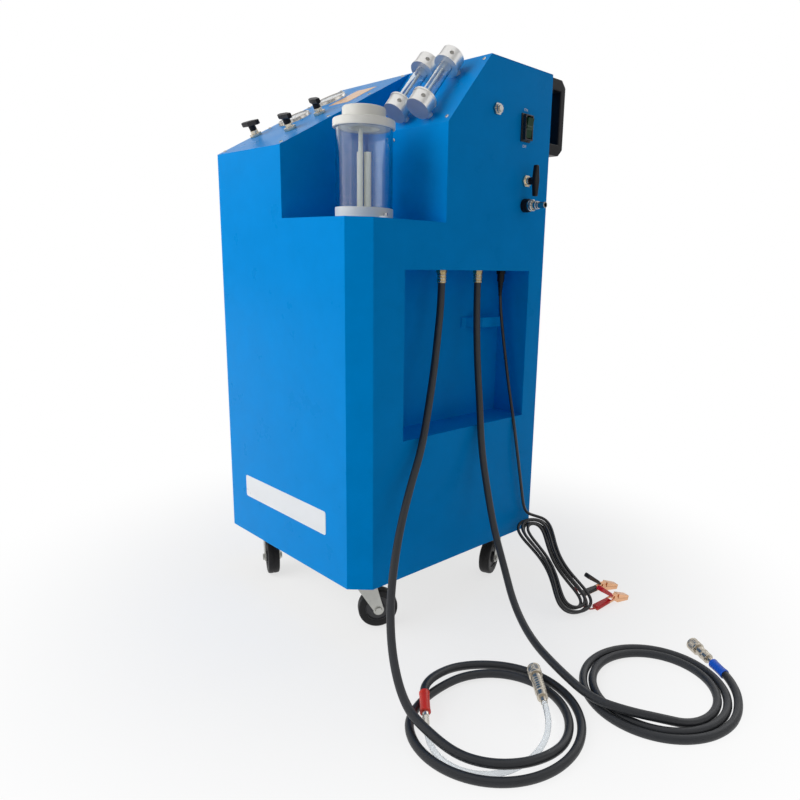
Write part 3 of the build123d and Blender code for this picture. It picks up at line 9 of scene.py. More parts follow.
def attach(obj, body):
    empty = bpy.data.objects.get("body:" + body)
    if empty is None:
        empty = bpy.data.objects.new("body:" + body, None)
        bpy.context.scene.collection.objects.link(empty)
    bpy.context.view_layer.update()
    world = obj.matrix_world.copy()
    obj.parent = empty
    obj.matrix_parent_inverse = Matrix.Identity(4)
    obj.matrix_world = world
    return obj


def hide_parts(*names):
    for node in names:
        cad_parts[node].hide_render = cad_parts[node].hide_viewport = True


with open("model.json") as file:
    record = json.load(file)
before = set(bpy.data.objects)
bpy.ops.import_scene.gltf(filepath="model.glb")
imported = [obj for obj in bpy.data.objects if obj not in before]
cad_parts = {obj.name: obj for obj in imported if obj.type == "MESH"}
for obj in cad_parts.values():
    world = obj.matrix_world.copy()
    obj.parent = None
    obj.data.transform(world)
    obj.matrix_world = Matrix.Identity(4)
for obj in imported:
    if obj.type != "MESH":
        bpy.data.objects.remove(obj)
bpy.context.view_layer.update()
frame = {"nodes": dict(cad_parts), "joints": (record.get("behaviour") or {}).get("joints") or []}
scene = bpy.context.scene
scene.view_settings.view_transform = "Standard"

# Camera. It stands where the photograph was taken: in front of the bevelled corner, a little
# above the middle of the machine, and turned slightly about its own line of sight.
camera_place = Vector((1.0773, -0.93695, 0.6937))
yaw = math.radians(44.12)
pitch = math.radians(-12.61)
roll = math.radians(1.66)
sight = Vector((-math.sin(yaw) * math.cos(pitch), math.cos(yaw) * math.cos(pitch), math.sin(pitch)))
level_right = Vector((math.cos(yaw), math.sin(yaw), 0))
level_up = level_right.cross(sight)
camera_right = level_right * math.cos(roll) + level_up * math.sin(roll)
camera_up = level_up * math.cos(roll) - level_right * math.sin(roll)
camera = bpy.data.objects.new("camera", bpy.data.cameras.new("camera"))
scene.collection.objects.link(camera)
turned_camera = Matrix((camera_right, camera_up, -sight)).transposed().to_4x4()
camera.matrix_world = Matrix.Translation(camera_place) @ turned_camera
camera.data.lens = 30.27
camera.data.shift_x = -0.069
camera.data.shift_y = 0.011
scene.camera = camera


def node(tree, kind, operation=None, **sockets):
    """A shader node with its operation, where it has one, and some of its sockets set."""
    made = tree.nodes.new("ShaderNode" + kind)
    if operation:
        made.operation = operation
    for name, value in sockets.items():
        made.inputs[name.replace("_", " ")].default_value = value
    return made


def greys(tree, stops):
    """A ramp of greys from pairs of a position and a tone."""
    made = tree.nodes.new("ShaderNodeValToRGB")
    steps = made.color_ramp.elements
    for number, (level, tone) in enumerate(stops):
        stop = steps[0] if number == 0 else steps.new(level)
        stop.position = level
        stop.color = (tone, tone, tone, 1)
    steps.remove(steps[-1])
    return made


# Studio. A pale floor turns white away from the machine, and the surround is plain white to the
# camera, but reflections show it in light and dark bands with one bright window. Of the three
# lamps, the large one in front on the left is left out of reflections.
floor_radius = 9.0
white_from, white_to = 0.3, 1.0
floor_mesh = bmesh.new()
bmesh.ops.create_circle(floor_mesh, cap_ends=True, segments=96, radius=floor_radius)
floor_data = bpy.data.meshes.new("floor")
floor_mesh.to_mesh(floor_data)
floor_mesh.free()
floor = bpy.data.objects.new("floor", floor_data)
scene.collection.objects.link(floor)
floor_paint = bpy.data.materials.new("floor_paint")
floor_paint.use_nodes = True
tree = floor_paint.node_tree
tree.nodes.clear()
spot = node(tree, "TexCoord")
reach = node(tree, "VectorMath", "LENGTH")
fade = node(tree, "MapRange", From_Min=white_from, From_Max=white_to, To_Min=0.68)
fade.interpolation_type = "SMOOTHSTEP"
paint = node(tree, "BsdfDiffuse", Color=(0.93, 0.93, 0.93, 1))
white = node(tree, "Emission", Color=(1, 1, 1, 1), Strength=1.0)
rays = node(tree, "LightPath")
seen = node(tree, "Math", "MAXIMUM")
share = node(tree, "Math", "MULTIPLY")
blend = node(tree, "MixShader")
result = node(tree, "OutputMaterial")
tree.links.new(spot.outputs["Object"], reach.inputs[0])
tree.links.new(reach.outputs["Value"], fade.inputs["Value"])
tree.links.new(rays.outputs["Is Camera Ray"], seen.inputs[0])
tree.links.new(rays.outputs["Is Glossy Ray"], seen.inputs[1])
tree.links.new(seen.outputs[0], share.inputs[0])
tree.links.new(fade.outputs["Result"], share.inputs[1])
tree.links.new(share.outputs[0], blend.inputs["Fac"])
tree.links.new(paint.outputs[0], blend.inputs[1])
tree.links.new(white.outputs[0], blend.inputs[2])
tree.links.new(blend.outputs[0], result.inputs["Surface"])
floor_data.materials.append(floor_paint)

world = bpy.data.worlds.new("surround")
world.use_nodes = True
scene.world = world
tree = world.node_tree
tree.nodes.clear()
lit = node(tree, "Background", Color=(1.0, 1.0, 1.0, 1), Strength=0.27)
shown = node(tree, "Background", Color=(1, 1, 1, 1), Strength=1.0)
mirrored = node(tree, "Background", Color=(1, 1, 1, 1))
way = node(tree, "TexCoord")
split = node(tree, "SeparateXYZ")
height_bands = (
    (0.0, 0.16), (0.09, 0.2), (0.18, 1.0), (0.46, 1.0), (0.54, 0.14), (0.66, 0.4), (0.8, 0.9),
    (1.0, 0.25),
)
window_bands = ((0.16, 0.0), (0.19, 1.0), (0.26, 1.0), (0.29, 0.0))
height = greys(tree, height_bands)
across = node(tree, "MapRange", From_Min=-1.0)
window = greys(tree, window_bands)
brighter = node(tree, "Math", "MAXIMUM")
rays = node(tree, "LightPath")
first = node(tree, "MixShader")
second = node(tree, "MixShader")
through = node(tree, "Math", "MAXIMUM")
result = node(tree, "OutputWorld")
tree.links.new(way.outputs["Generated"], split.inputs[0])
tree.links.new(split.outputs["Z"], height.inputs["Fac"])
tree.links.new(split.outputs["X"], across.inputs["Value"])
tree.links.new(across.outputs["Result"], window.inputs["Fac"])
tree.links.new(height.outputs["Color"], brighter.inputs[0])
tree.links.new(window.outputs["Color"], brighter.inputs[1])
tree.links.new(brighter.outputs[0], mirrored.inputs["Strength"])
tree.links.new(rays.outputs["Is Glossy Ray"], first.inputs["Fac"])
tree.links.new(lit.outputs[0], first.inputs[1])
tree.links.new(mirrored.outputs[0], first.inputs[2])
tree.links.new(rays.outputs["Is Camera Ray"], through.inputs[0])
tree.links.new(rays.outputs["Is Transmission Ray"], through.inputs[1])
tree.links.new(through.outputs[0], second.inputs["Fac"])
tree.links.new(first.outputs[0], second.inputs[1])
tree.links.new(shown.outputs[0], second.inputs[2])
tree.links.new(second.outputs[0], result.inputs["Surface"])

lamp_aim = Vector((0, 0, 0.5))
for lamp_name, lamp_place, size, power in (
    ("front_lamp", (-1.5, -3.2, 2.2), 3.6, 109.0),
    ("side_lamp", (3.2, 0.6, 1.6), 1.8, 4.0),
    ("rear_lamp", (0.4, 3.2, 2.4), 2.0, 16.0),
):
    lamp_data = bpy.data.lights.new(lamp_name, "AREA")
    lamp_data.size = size
    lamp_data.energy = power
    lamp = bpy.data.objects.new(lamp_name, lamp_data)
    lamp.location = lamp_place
    lamp.rotation_euler = (lamp_aim - Vector(lamp_place)).to_track_quat("-Z", "Y").to_euler()
    lamp.visible_glossy = lamp_name != "front_lamp"
    scene.collection.objects.link(lamp)


def finish(
    name, colour, roughness, grain, depth, tone=0.1, metallic=0.0, coat=0.0, shine=0.5,
    gleam=(1, 1, 1)
):
    """A material whose tone and gloss drift over centimetres, above a fine grain of some depth."""
    made = bpy.data.materials.new(name)
    made.use_nodes = True
    tree = made.node_tree
    shader = tree.nodes["Principled BSDF"]
    shader.inputs["Metallic"].default_value = metallic
    shader.inputs["Coat Weight"].default_value = coat
    shader.inputs["Specular IOR Level"].default_value = shine
    shader.inputs["Specular Tint"].default_value = (*gleam, 1)
    place = node(tree, "TexCoord")
    drift = node(tree, "TexNoise", Scale=17.0, Detail=4.0, Roughness=0.6)
    shades = tree.nodes.new("ShaderNodeValToRGB")
    shades.color_ramp.elements[0].position = 0.3
    shades.color_ramp.elements[1].position = 0.7
    shades.color_ramp.elements[0].color = (*[c * (1 - tone) for c in colour], 1)
    shades.color_ramp.elements[1].color = (*[min(c * (1 + tone), 1.0) for c in colour], 1)
    gloss = node(tree, "MapRange", From_Min=0.3, From_Max=0.7)
    gloss.inputs["To Min"].default_value = roughness * 0.88
    gloss.inputs["To Max"].default_value = min(roughness * 1.12, 1.0)
    fine = node(tree, "TexNoise", Scale=grain, Detail=2.0)
    bump = node(tree, "Bump", Strength=1.0, Distance=depth)
    tree.links.new(place.outputs["Object"], drift.inputs["Vector"])
    tree.links.new(place.outputs["Object"], fine.inputs["Vector"])
    tree.links.new(drift.outputs["Fac"], shades.inputs["Fac"])
    tree.links.new(drift.outputs["Fac"], gloss.inputs["Value"])
    tree.links.new(shades.outputs["Color"], shader.inputs["Base Color"])
    tree.links.new(gloss.outputs["Result"], shader.inputs["Roughness"])
    tree.links.new(fine.outputs["Fac"], bump.inputs["Height"])
    tree.links.new(bump.outputs["Normal"], shader.inputs["Normal"])
    return made


def clear(skin, share, bending):
    """Lets a share of the light through a material, bent by its index of refraction."""
    shader = skin.node_tree.nodes["Principled BSDF"]
    shader.inputs["Transmission Weight"].default_value = share
    shader.inputs["IOR"].default_value = bending


def lay_cord(name, points, radius, skin):
    """A round cord along one smooth line, in metres. It rides on the cabinet."""
    line = bpy.data.curves.new(name, "CURVE")
    line.dimensions = "3D"
    line.bevel_depth = radius
    line.bevel_resolution = 5
    line.resolution_u = 8
    line.use_fill_caps = True
    spline = line.splines.new("NURBS")
    spline.points.add(len(points) - 1)
    for knot, place in zip(spline.points, points):
        knot.co = (*place, 1)
    spline.order_u = 3
    spline.use_endpoint_u = True
    line.materials.append(skin)
    cord = bpy.data.objects.new(name, line)
    scene.collection.objects.link(cord)
    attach(cord, "cabinet")
    return cord


def ease(turn, start, stop):
    """The share of a smooth change that is done at a turn between start and stop."""
    part = min(max((turn - start) / (stop - start), 0.0), 1.0)
    return part * part * (3 - 2 * part)


# Return hose. A 14 mm rubber hose drops from the front ferrule of the bay and lies on the floor
# in two turns. Its end climbs over both turns to the red sleeve.
hose_rubber = finish(
    "hose_rubber", (0.017, 0.019, 0.023), 0.44, 1500.0, 0.00008, tone=0.22, shine=0.5
)
hose_radius = 0.007
floor_gap = 0.0002
return_exit = (0.1594, -0.03725, 0.648)
return_drop = [
    return_exit,
    (0.1594, -0.03725, 0.614),
    (0.166, -0.049, 0.562),
    (0.179, -0.070, 0.493),
    (0.196, -0.099, 0.423),
    (0.214, -0.131, 0.355),
    (0.229, -0.172, 0.292),
    (0.247, -0.210, 0.232),
    (0.273, -0.247, 0.177),
    (0.306, -0.282, 0.127),
    (0.345, -0.311, 0.084),
    (0.382, -0.329, 0.050),
    (0.416, -0.3385, 0.0285),
]


return_centre = (0.4972, -0.2344)


def return_place(turn):
    """Place of the return coil's middle line at a turn in degrees."""
    outward = ease(turn, 545, 605) - ease(turn, 870, 928)
    bend = math.radians(turn)
    radius = 0.113 + 0.024 * outward + 0.0112 * (1 - ease(turn, 228, 285))
    radius += 0.005 * math.cos(bend - math.radians(30)) * (1 - ease(turn, 545, 605))
    level = hose_radius + floor_gap + 0.0098 * (1 - ease(turn, 335, 385))
    level += 0.0052 * (1 - ease(turn, 248, 280)) + 0.0152 * ease(turn, 868, 905)
    across, along = return_centre
    return Vector((across + radius * math.cos(bend), along + radius * math.sin(bend), level))


return_way = Vector((0.76, -0.64, -0.16)).normalized()
return_end = return_place(928)
return_coil = [return_place(turn) for turn in (248, *range(280, 905, 24))]
return_points = [*return_drop, *return_coil, return_end - return_way * 2 * hose_radius, return_end]
return_hose = lay_cord("return_hose_line", return_points, hose_radius, hose_rubber)
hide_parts("return_hose", "return_coil")

# Supply hose. The same hose from the second ferrule. Its coil starts above its own outer turns
# and spirals outward on the floor to the blue sleeve.
supply_exit = (0.1594, 0.06275, 0.648)
supply_drop = [
    supply_exit,
    (0.1594, 0.06275, 0.610),
    (0.164, 0.060, 0.558),
    (0.177, 0.052, 0.484),
    (0.200, 0.038, 0.407),
    (0.219, 0.026, 0.327),
    (0.244, 0.020, 0.248),
    (0.276, 0.009, 0.176),
    (0.320, -0.008, 0.117),
    (0.370, -0.036, 0.069),
    (0.434, -0.064, 0.039),
    (0.510, -0.086, 0.027),
]


supply_centre = (0.6361, 0.0164)


def supply_place(turn):
    """Place of the supply coil's middle line at a turn in degrees."""
    left = 1 - min(max((turn - 249.6) / 62, 0.0), 1.0)
    radius = 0.092 + 0.016 * (turn - 243) / 360 + 0.0385 * left * left
    level = hose_radius + floor_gap + 0.015 * (1 - ease(turn, 288, 340))
    level += 0.005 * ease(turn, 1085, 1139.6)
    bend = math.radians(turn)
    across, along = supply_centre
    return Vector((across + radius * math.cos(bend), along + radius * math.sin(bend), level))


supply_way = Vector((-0.8526, 0.5226, 0.0))
supply_end = supply_place(1139.6)
supply_coil = [supply_place(turn) for turn in (249.6, *[275.6 + 27 * step for step in range(32)])]
supply_points = [*supply_drop, *supply_coil, supply_end - supply_way * 2 * hose_radius, supply_end]
supply_hose = lay_cord("supply_hose_line", supply_points, hose_radius, hose_rubber)
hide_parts("supply_hose", "supply_coil")

# Power cable. A 6.5 mm cable with a glossier sheath drops from the gland along the bay to a hank,
# which leans on the cabinet. The hank's four turns are drawn in at the waist.
cable_sheath = finish("cable_sheath", (0.012, 0.012, 0.014), 0.3, 900.0, 0.00003, tone=0.2)
cable_radius = 0.00325
cable_exit = (0.1594, 0.13275, 0.6505)
cable_drop = [
    cable_exit,
    (0.1594, 0.13275, 0.6205),
    (0.163, 0.137, 0.567),
    (0.1715, 0.1405, 0.510),
    (0.183, 0.141, 0.452),
    (0.196, 0.1415, 0.395),
    (0.2065, 0.145, 0.338),
    (0.2105, 0.153, 0.286),
    (0.212, 0.1625, 0.240),
    (0.2125, 0.171, 0.202),
    (0.212, 0.1785, 0.1735),
    (0.2118, 0.1865, 0.154),
    (0.2146, 0.1968, 0.1426),
]
hank_middle = Vector((0.314, 0.162, 0.0688))
hank_up = Vector((-200, 64, 133)).normalized()
hank_across = Vector((64, 200, 0)).normalized()
hank_out = hank_up.cross(hank_across)


def hank_place(turn):
    """Place of the hank's middle line at a turn in degrees: inward, then outward below."""
    rung = abs(turn - 776) / 360
    climb = ease(turn, 701, 851) - 0.5
    bend = math.radians(turn)
    waist = 0.0042 + 0.0088 * rung
    lobe = 0.038 + 0.017 * rung
    along = (0.1217 - 0.010 * (2 - rung)) * math.cos(bend)
    across = math.sin(bend) * (waist + lobe * math.cos(bend) ** 2)
    return hank_middle + hank_up * along + hank_across * across + hank_out * (0.008 * climb)


hank_way = Vector((0.846145, -0.083024, -0.526446))
hank_end = hank_place(1540)
hank_turns = [hank_place(12 + 1528 * step / 102) for step in range(102)]
cable_points = [*cable_drop, *hank_turns, hank_end - hank_way * 2 * cable_radius, hank_end]
power_cable = lay_cord("power_cable_line", cable_points, cable_radius, cable_sheath)

# Clear tube. A soft 9 mm drain tube from the nipple of the red sleeve, under the first turn of
# the return coil and up to the quick coupler that lies on the turns.
clear_plastic = finish("clear_plastic", (0.86, 0.9, 0.93), 0.16, 300.0, 0.00002, tone=0.04)
clear(clear_plastic, 0.82, 1.35)
tube_radius = 0.0045
nipple_end = return_end + return_way * 0.066
tail_place = Vector((0.547, -0.173, 0.0262))
tail_way = Vector((-0.752, 0.659, 0.0)).normalized()
tube_points = [
    nipple_end,
    nipple_end + return_way * 0.012,
    (0.478, -0.3485, 0.0054),
    (0.507, -0.356, 0.00475),
    (0.537, -0.3515, 0.0047),
    (0.563, -0.337, 0.0047),
    (0.583, -0.311, 0.0048),
    (0.593, -0.280, 0.0065),
    (0.595, -0.250, 0.0105),
    (0.590, -0.224, 0.0165),
    (0.5775, -0.202, 0.0225),
    tail_place - tail_way * 0.019,
    tail_place,
]
clear_tube = lay_cord("clear_tube_line", tube_points, tube_radius, clear_plastic)
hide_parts("clear_tube")


def keep(name, mesh, body, slot, *finishes, crease=38):
    """Makes a piece of a finished bmesh. It rides on its body. The slot is not used."""
    data = bpy.data.meshes.new(name)
    mesh.to_mesh(data)
    mesh.free()
    for skin in finishes:
        data.materials.append(skin)
    data.shade_smooth()
    data.set_sharp_from_angle(angle=math.radians(crease))
    piece = bpy.data.objects.new(name, data)
    scene.collection.objects.link(piece)
    flatten = piece.modifiers.new("flat_faces_stay_flat", "WEIGHTED_NORMAL")
    flatten.keep_sharp = True
    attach(piece, body)
    return piece


def cover(skin, *node_names):
    """Gives CAD nodes that are shown as they are one material."""
    for node_name in node_names:
        frame["nodes"][node_name].data.materials.clear()
        frame["nodes"][node_name].data.materials.append(skin)


def stand(place, out, right=(1, 0, 0)):
    """The matrix of a seat at a place, whose z points out and whose x lies near right."""
    z = Vector(out).normalized()
    x = (Vector(right) - z * Vector(right).dot(z)).normalized()
    return Matrix.Translation(place) @ Matrix((x, z.cross(x), z)).transposed().to_4x4()


def lathe(profile, place, out, steps=40, ribs=0.0, rib_levels=(0, 0)):
    """A form spun from (radius, height) pairs about the out direction. Every other column of a
    ribbed form is drawn in by ribs between two heights."""
    mesh = bmesh.new()
    spots = [mesh.verts.new((radius, 0, height)) for radius, height in profile]
    outline = [mesh.edges.new(pair) for pair in zip(spots, spots[1:])]
    if profile[0][0] > 0:
        outline.append(mesh.edges.new((spots[-1], spots[0])))
    bmesh.ops.spin(
        mesh, geom=[*spots, *outline], axis=(0, 0, 1), cent=(0, 0, 0), angle=math.tau, steps=steps,
        use_merge=True
    )
    bmesh.ops.remove_doubles(mesh, verts=mesh.verts, dist=1e-6)
    bmesh.ops.recalc_face_normals(mesh, faces=mesh.faces)
    if ribs:
        for spot in mesh.verts:
            column = round(math.atan2(spot.co.y, spot.co.x) / math.tau * steps)
            inside = rib_levels[0] <= spot.co.z <= rib_levels[1] and spot.co.xy.length > ribs * 3
            if column % 2 and inside:
                spot.co.xy *= 1 - ribs / spot.co.xy.length
    bmesh.ops.transform(mesh, matrix=stand(place, out, (0.3, 0.2, 1)), verts=mesh.verts)
    return mesh


def join(*meshes):
    """Several bmeshes as one."""
    whole = bmesh.new()
    for mesh in meshes:
        data = bpy.data.meshes.new("part")
        mesh.to_mesh(data)
        mesh.free()
        whole.from_mesh(data)
        bpy.data.meshes.remove(data)
    return whole


# Sleeves and couplers at the hose ends. A moulded red or blue sleeve grips the hose, and turned
# and plated fittings follow it: a ridged nipple, or a nut, a body and a spigot.
plated = finish("plated", (0.70, 0.67, 0.62), 0.26, 600.0, 0.00002, tone=0.12, metallic=1.0)
warm_plated = finish(
    "warm_plated", (0.58, 0.53, 0.45), 0.3, 600.0, 0.00002, tone=0.14, metallic=0.95
)
nickel = finish("nickel", (0.50, 0.49, 0.46), 0.15, 600.0, 0.00002, tone=0.12, metallic=1.0)
red_sleeve_plastic = finish("red_sleeve_plastic", (0.92, 0.04, 0.022), 0.38, 700.0, 0.00004)
blue_sleeve_plastic = finish("blue_sleeve_plastic", (0.01, 0.12, 0.72), 0.38, 700.0, 0.00004)


def sleeve(length):
    """Profile of a sleeve: a thicker lip at each end and a slightly drawn-in middle."""
    return [
        (0, -0.001), (0.0078, -0.001), (0.0085, 0.0004), (0.0085, 0.0035), (0.0081, 0.0045),
        (0.0079, length * 0.5), (0.0081, length - 0.0045), (0.0085, length - 0.0035),
        (0.0085, length - 0.0006), (0.0078, length), (0, length),
    ]


nipple_outline = [(0, 0), (0.0055, 0), (0.0055, 0.007), (0.0044, 0.0075)]
for barb in range(4):
    nipple_outline += [(0.0044, 0.009 + barb * 0.004), (0.0053, 0.0092 + barb * 0.004)]
    nipple_outline += [(0.0044, 0.0126 + barb * 0.004)]
nipple_outline += [(0.004, 0.026), (0, 0.026)]
red_sleeve = keep(
    "red_sleeve", lathe(sleeve(0.040), return_end, return_way), "cabinet", "clamp_red",
    red_sleeve_plastic,
)
nipple = keep(
    "return_nipple", lathe(nipple_outline, return_end + return_way * 0.040, return_way), "cabinet",
    "chrome", plated
)


def coupler(body_length):
    """Profile of a quick coupler from its tail to its open spigot."""
    nut, body = 0.012, 0.024
    spigot = body + body_length
    outline = [(0, 0), (0.0052, 0), (0.0055, 0.0006), (0.0055, nut)]
    outline += [
        (0.0083, nut), (0.009, nut + 0.0008), (0.009, body - 0.0012), (0.0082, body - 0.0004)
    ]
    rings = int((body_length - 0.004) / 0.006)
    for ring in range(rings):
        start = body + 0.001 + ring * 0.006
        outline += [
            (0.0088, start), (0.0095, start + 0.0006), (0.0095, start + 0.0044),
            (0.0088, start + 0.005),
        ]
    outline += [
        (0.0091, spigot - 0.001), (0.008, spigot), (0.008, spigot + 0.0252),
        (0.0074, spigot + 0.026),
    ]
    outline += [
        (0.0054, spigot + 0.026), (0.005, spigot + 0.0254), (0.005, spigot + 0.004),
        (0, spigot + 0.004),
    ]
    return outline


collar_outline = [
    (0.0081, 0), (0.0106, 0), (0.0114, 0.0008), (0.0114, 0.003), (0.0107, 0.0036), (0.0107, 0.0048),
    (0.0115, 0.0054), (0.0115, 0.0166), (0.0107, 0.0172), (0.0107, 0.0184), (0.0114, 0.019),
    (0.0114, 0.0212), (0.0106, 0.022), (0.0081, 0.022),
]
return_quick = keep(
    "return_quick_coupler", lathe(coupler(0.040), tail_place, tail_way), "cabinet", "chrome",
    warm_plated
)
return_collar = keep(
    "return_sliding_collar",
    lathe(collar_outline, tail_place + tail_way * 0.068, tail_way, 72, 0.0005, (0.005, 0.017)),
    "return_coupler_collar_body", "chrome", warm_plated,
)
supply_body = supply_end + supply_way * 0.034
blue_sleeve = keep(
    "blue_sleeve", lathe(sleeve(0.034), supply_end, supply_way), "cabinet", "blue_powder_coat",
    blue_sleeve_plastic,
)
supply_quick = keep(
    "supply_quick_coupler", lathe(coupler(0.014), supply_body, supply_way), "cabinet", "chrome",
    warm_plated
)
supply_collar = keep(
    "supply_sliding_collar",
    lathe(collar_outline, supply_body + supply_way * 0.042, supply_way, 72, 0.0005, (0.005, 0.017)),
    "supply_coupler_collar_body", "chrome", warm_plated,
)
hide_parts("return_coupler")
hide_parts("supply_coupler")
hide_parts("return_coupler_collar")
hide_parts("supply_coupler_collar")


def soften(node_name, width, angle=40):
    """A merged copy of a CAD node whose hard edges are broken by a small round."""
    mesh = bmesh.new()
    mesh.from_mesh(frame["nodes"][node_name].data)
    bmesh.ops.remove_doubles(mesh, verts=mesh.verts, dist=2e-6)
    bmesh.ops.dissolve_limit(
        mesh, angle_limit=math.radians(0.6), verts=mesh.verts, edges=mesh.edges
    )
    least = math.radians(angle)
    hard = [e for e in mesh.edges if len(e.link_faces) == 2 and e.calc_face_angle(0) > least]
    bmesh.ops.bevel(
        mesh, geom=hard, offset=width, offset_type="OFFSET", affect="EDGES", segments=2,
        profile=0.5, material=-1, clamp_overlap=True,
    )
    return mesh


# Battery leads and clamps. The cable splits in a moulded boot into two thin leads. Each ends in a
# clamp of two stamped copper levers on one pin, whose grips are dipped in soft vinyl.
cable_boot = keep(
    "cable_boot",
    lathe(
        [
            (0, -0.007), (0.0036, -0.007), (0.0042, -0.0055), (0.0042, 0.004), (0.0037, 0.0085),
            (0.003, 0.0095), (0, 0.0095),
        ],
        hank_end, hank_way, 32,
    ),
    "cabinet", "cable_sheath", cable_sheath,
)
copper = finish("copper", (0.83, 0.47, 0.27), 0.28, 500.0, 0.00004, tone=0.16, metallic=1.0)
lead_runs = {
    "black": [
        (0.3493, 0.1813, 0.0446), (0.3536, 0.1815, 0.0381), (0.3566, 0.1822, 0.0308),
        (0.3584, 0.1832, 0.0232), (0.3588, 0.1846, 0.0152), (0.3594, 0.1881, 0.008),
        (0.3614, 0.1941, 0.0027), (0.3648, 0.2041, 0.0026),
    ],
    "red": [
        (0.350, 0.1773, 0.0448), (0.3565, 0.1764, 0.0384), (0.3635, 0.175, 0.0304),
        (0.3705, 0.173, 0.0226), (0.3775, 0.1702, 0.0156), (0.3845, 0.1669, 0.0096),
        (0.3919, 0.1634, 0.0052), (0.3969, 0.1611, 0.003), (0.4024, 0.1606, 0.002),
        (0.4077, 0.1621, 0.0019), (0.4121, 0.1654, 0.0021), (0.4151, 0.1701, 0.0026),
        (0.4161, 0.1745, 0.0026),
    ],
}
lead_radius, lead_spread = 0.00155, 0.00165
lead_side = hank_way.cross(Vector((0, 0, 1))).normalized() * lead_spread


def grip_sleeve(lever, pivot, axis, ahead, inward):
    """A dipped vinyl sleeve along a lever's grip, thickened towards the other grip."""
    behind = [v.co for v in lever.verts if (v.co - pivot).dot(ahead) < 0]
    reach = max((place - pivot).length for place in behind)
    ends = [place for place in behind if (place - pivot).length > reach * 0.94]
    along = (sum(ends, Vector()) / len(ends) - pivot).normalized()
    across = Vector(axis).normalized()
    inner = along.cross(across)
    inner *= 1 if inner.z * inward > 0 else -1
    mesh = bmesh.new()
    bmesh.ops.create_cube(mesh, size=1.0)
    grip_start, half_width = 0.018, 0.0080
    for corner in mesh.verts:
        far = corner.co.x > 0
        if corner.co.z > 0:
            depth = 0.0056 if far else 0.0030
        else:
            depth = -0.0023 if inward > 0 else -0.0043
        corner.co = (
            reach - 0.0006 if far else grip_start, math.copysign(half_width, corner.co.y), depth
        )
    bmesh.ops.bevel(
        mesh, geom=mesh.edges[:], offset=0.0021, affect="EDGES", segments=4, profile=0.5,
        material=-1
    )
    seat = Matrix.Translation(pivot) @ Matrix((along, across, inner)).transposed().to_4x4()
    bmesh.ops.transform(mesh, matrix=seat, verts=mesh.verts)
    bmesh.ops.recalc_face_normals(mesh, faces=mesh.faces)
    return mesh


vinyl = {
    "black": finish("black_vinyl", (0.02, 0.02, 0.022), 0.34, 500.0, 0.00005, tone=0.2),
    "red": finish("red_vinyl", (0.78, 0.014, 0.02), 0.3, 500.0, 0.00005),
}
for colour, side, length in (("black", -1, 0.074), ("red", 1, 0.109)):
    start = hank_end + lead_side * side
    lead_points = [start, start + hank_way * 0.008, *lead_runs[colour]]
    lead = lay_cord("lead_" + colour, lead_points, lead_radius, vinyl[colour])
    for level, body in (("lower", "cabinet"), ("upper", "clamp_" + colour + "_upper_body")):
        joint = next(j for j in frame["joints"] if j["name"] == "clamp_" + colour + "_open")
        node_name = "clamp_" + colour + "_" + level
        lever = soften(node_name, 0.0011, 50)
        pivot = Vector(joint["pos_m"])
        ahead = Vector((0, 0, 1)).cross(Vector(joint["axis"]))
        for face in lever.faces:
            forward = (face.calc_center_median() - pivot).dot(ahead)
            face.material_index = 1 if forward > -0.011 else 0
        lever = join(
            lever, grip_sleeve(lever, pivot, joint["axis"], ahead, 1 if level == "lower" else -1)
        )
        piece = keep(node_name + "_lever", lever, body, "clamp_" + colour, vinyl[colour], copper)
        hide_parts(node_name)
    lead_end = Vector(lead_runs[colour][-1])
    crimp_way = (lead_end - Vector(lead_runs[colour][-2])).normalized()
    crimp = keep(
        "lead_crimp_" + colour,
        lathe(
            [(0, -0.003), (0.0019, -0.003), (0.0023, -0.002), (0.0023, 0.003), (0, 0.003)],
            lead_end, crimp_way, 20,
        ),
        "cabinet", "clamp_" + colour, copper,
    )
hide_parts("power_cable", "cable_hank")

# Cabinet. Every panel is cut and folded from 1.5 mm steel sheet and powder coated in one bright
# blue, so all of them share a fine orange-peel grain and softly rounded edges.
powder_coat = finish(
    "blue_powder_coat", (0.0, 0.275, 0.75), 0.3, 620.0, 0.00006, tone=0.035, shine=0.06,
    gleam=(0.0, 0.6, 1)
)
panel_names = {
    "main_shell": "front_and_side", "left_side_panel": "left_side", "rear_panel": "rear_sheet",
    "top_cover": "top_sheet", "control_panel": "control_sheet", "flow_panel": "flow_sheet",
    "alcove_liner": "alcove_sheet", "bay_liner": "bay_sheet",
}
for node_name, piece_name in panel_names.items():
    sheet = keep(piece_name, soften(node_name, 0.0006), "cabinet", "blue_powder_coat", powder_coat)
    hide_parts(node_name)
galvanised = finish(
    "galvanised_steel", (0.44, 0.45, 0.44), 0.42, 260.0, 0.00005, tone=0.2, metallic=0.85
)
tray = keep("base_tray_sheet", soften("base_tray", 0.0005), "cabinet", "zinc_steel", galvanised)
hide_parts("base_tray")

# Left side of the front carries a blank white plate with rounded corners, laid on with a thin
# film edge. The sloping panel carries a bare amber film strip beside the gauges.
plate_white = finish("plate_white", (0.86, 0.88, 0.9), 0.3, 300.0, 0.00001, tone=0.02)
film_amber = finish("film_amber", (0.8, 0.42, 0.16), 0.22, 300.0, 0.00001, tone=0.12)


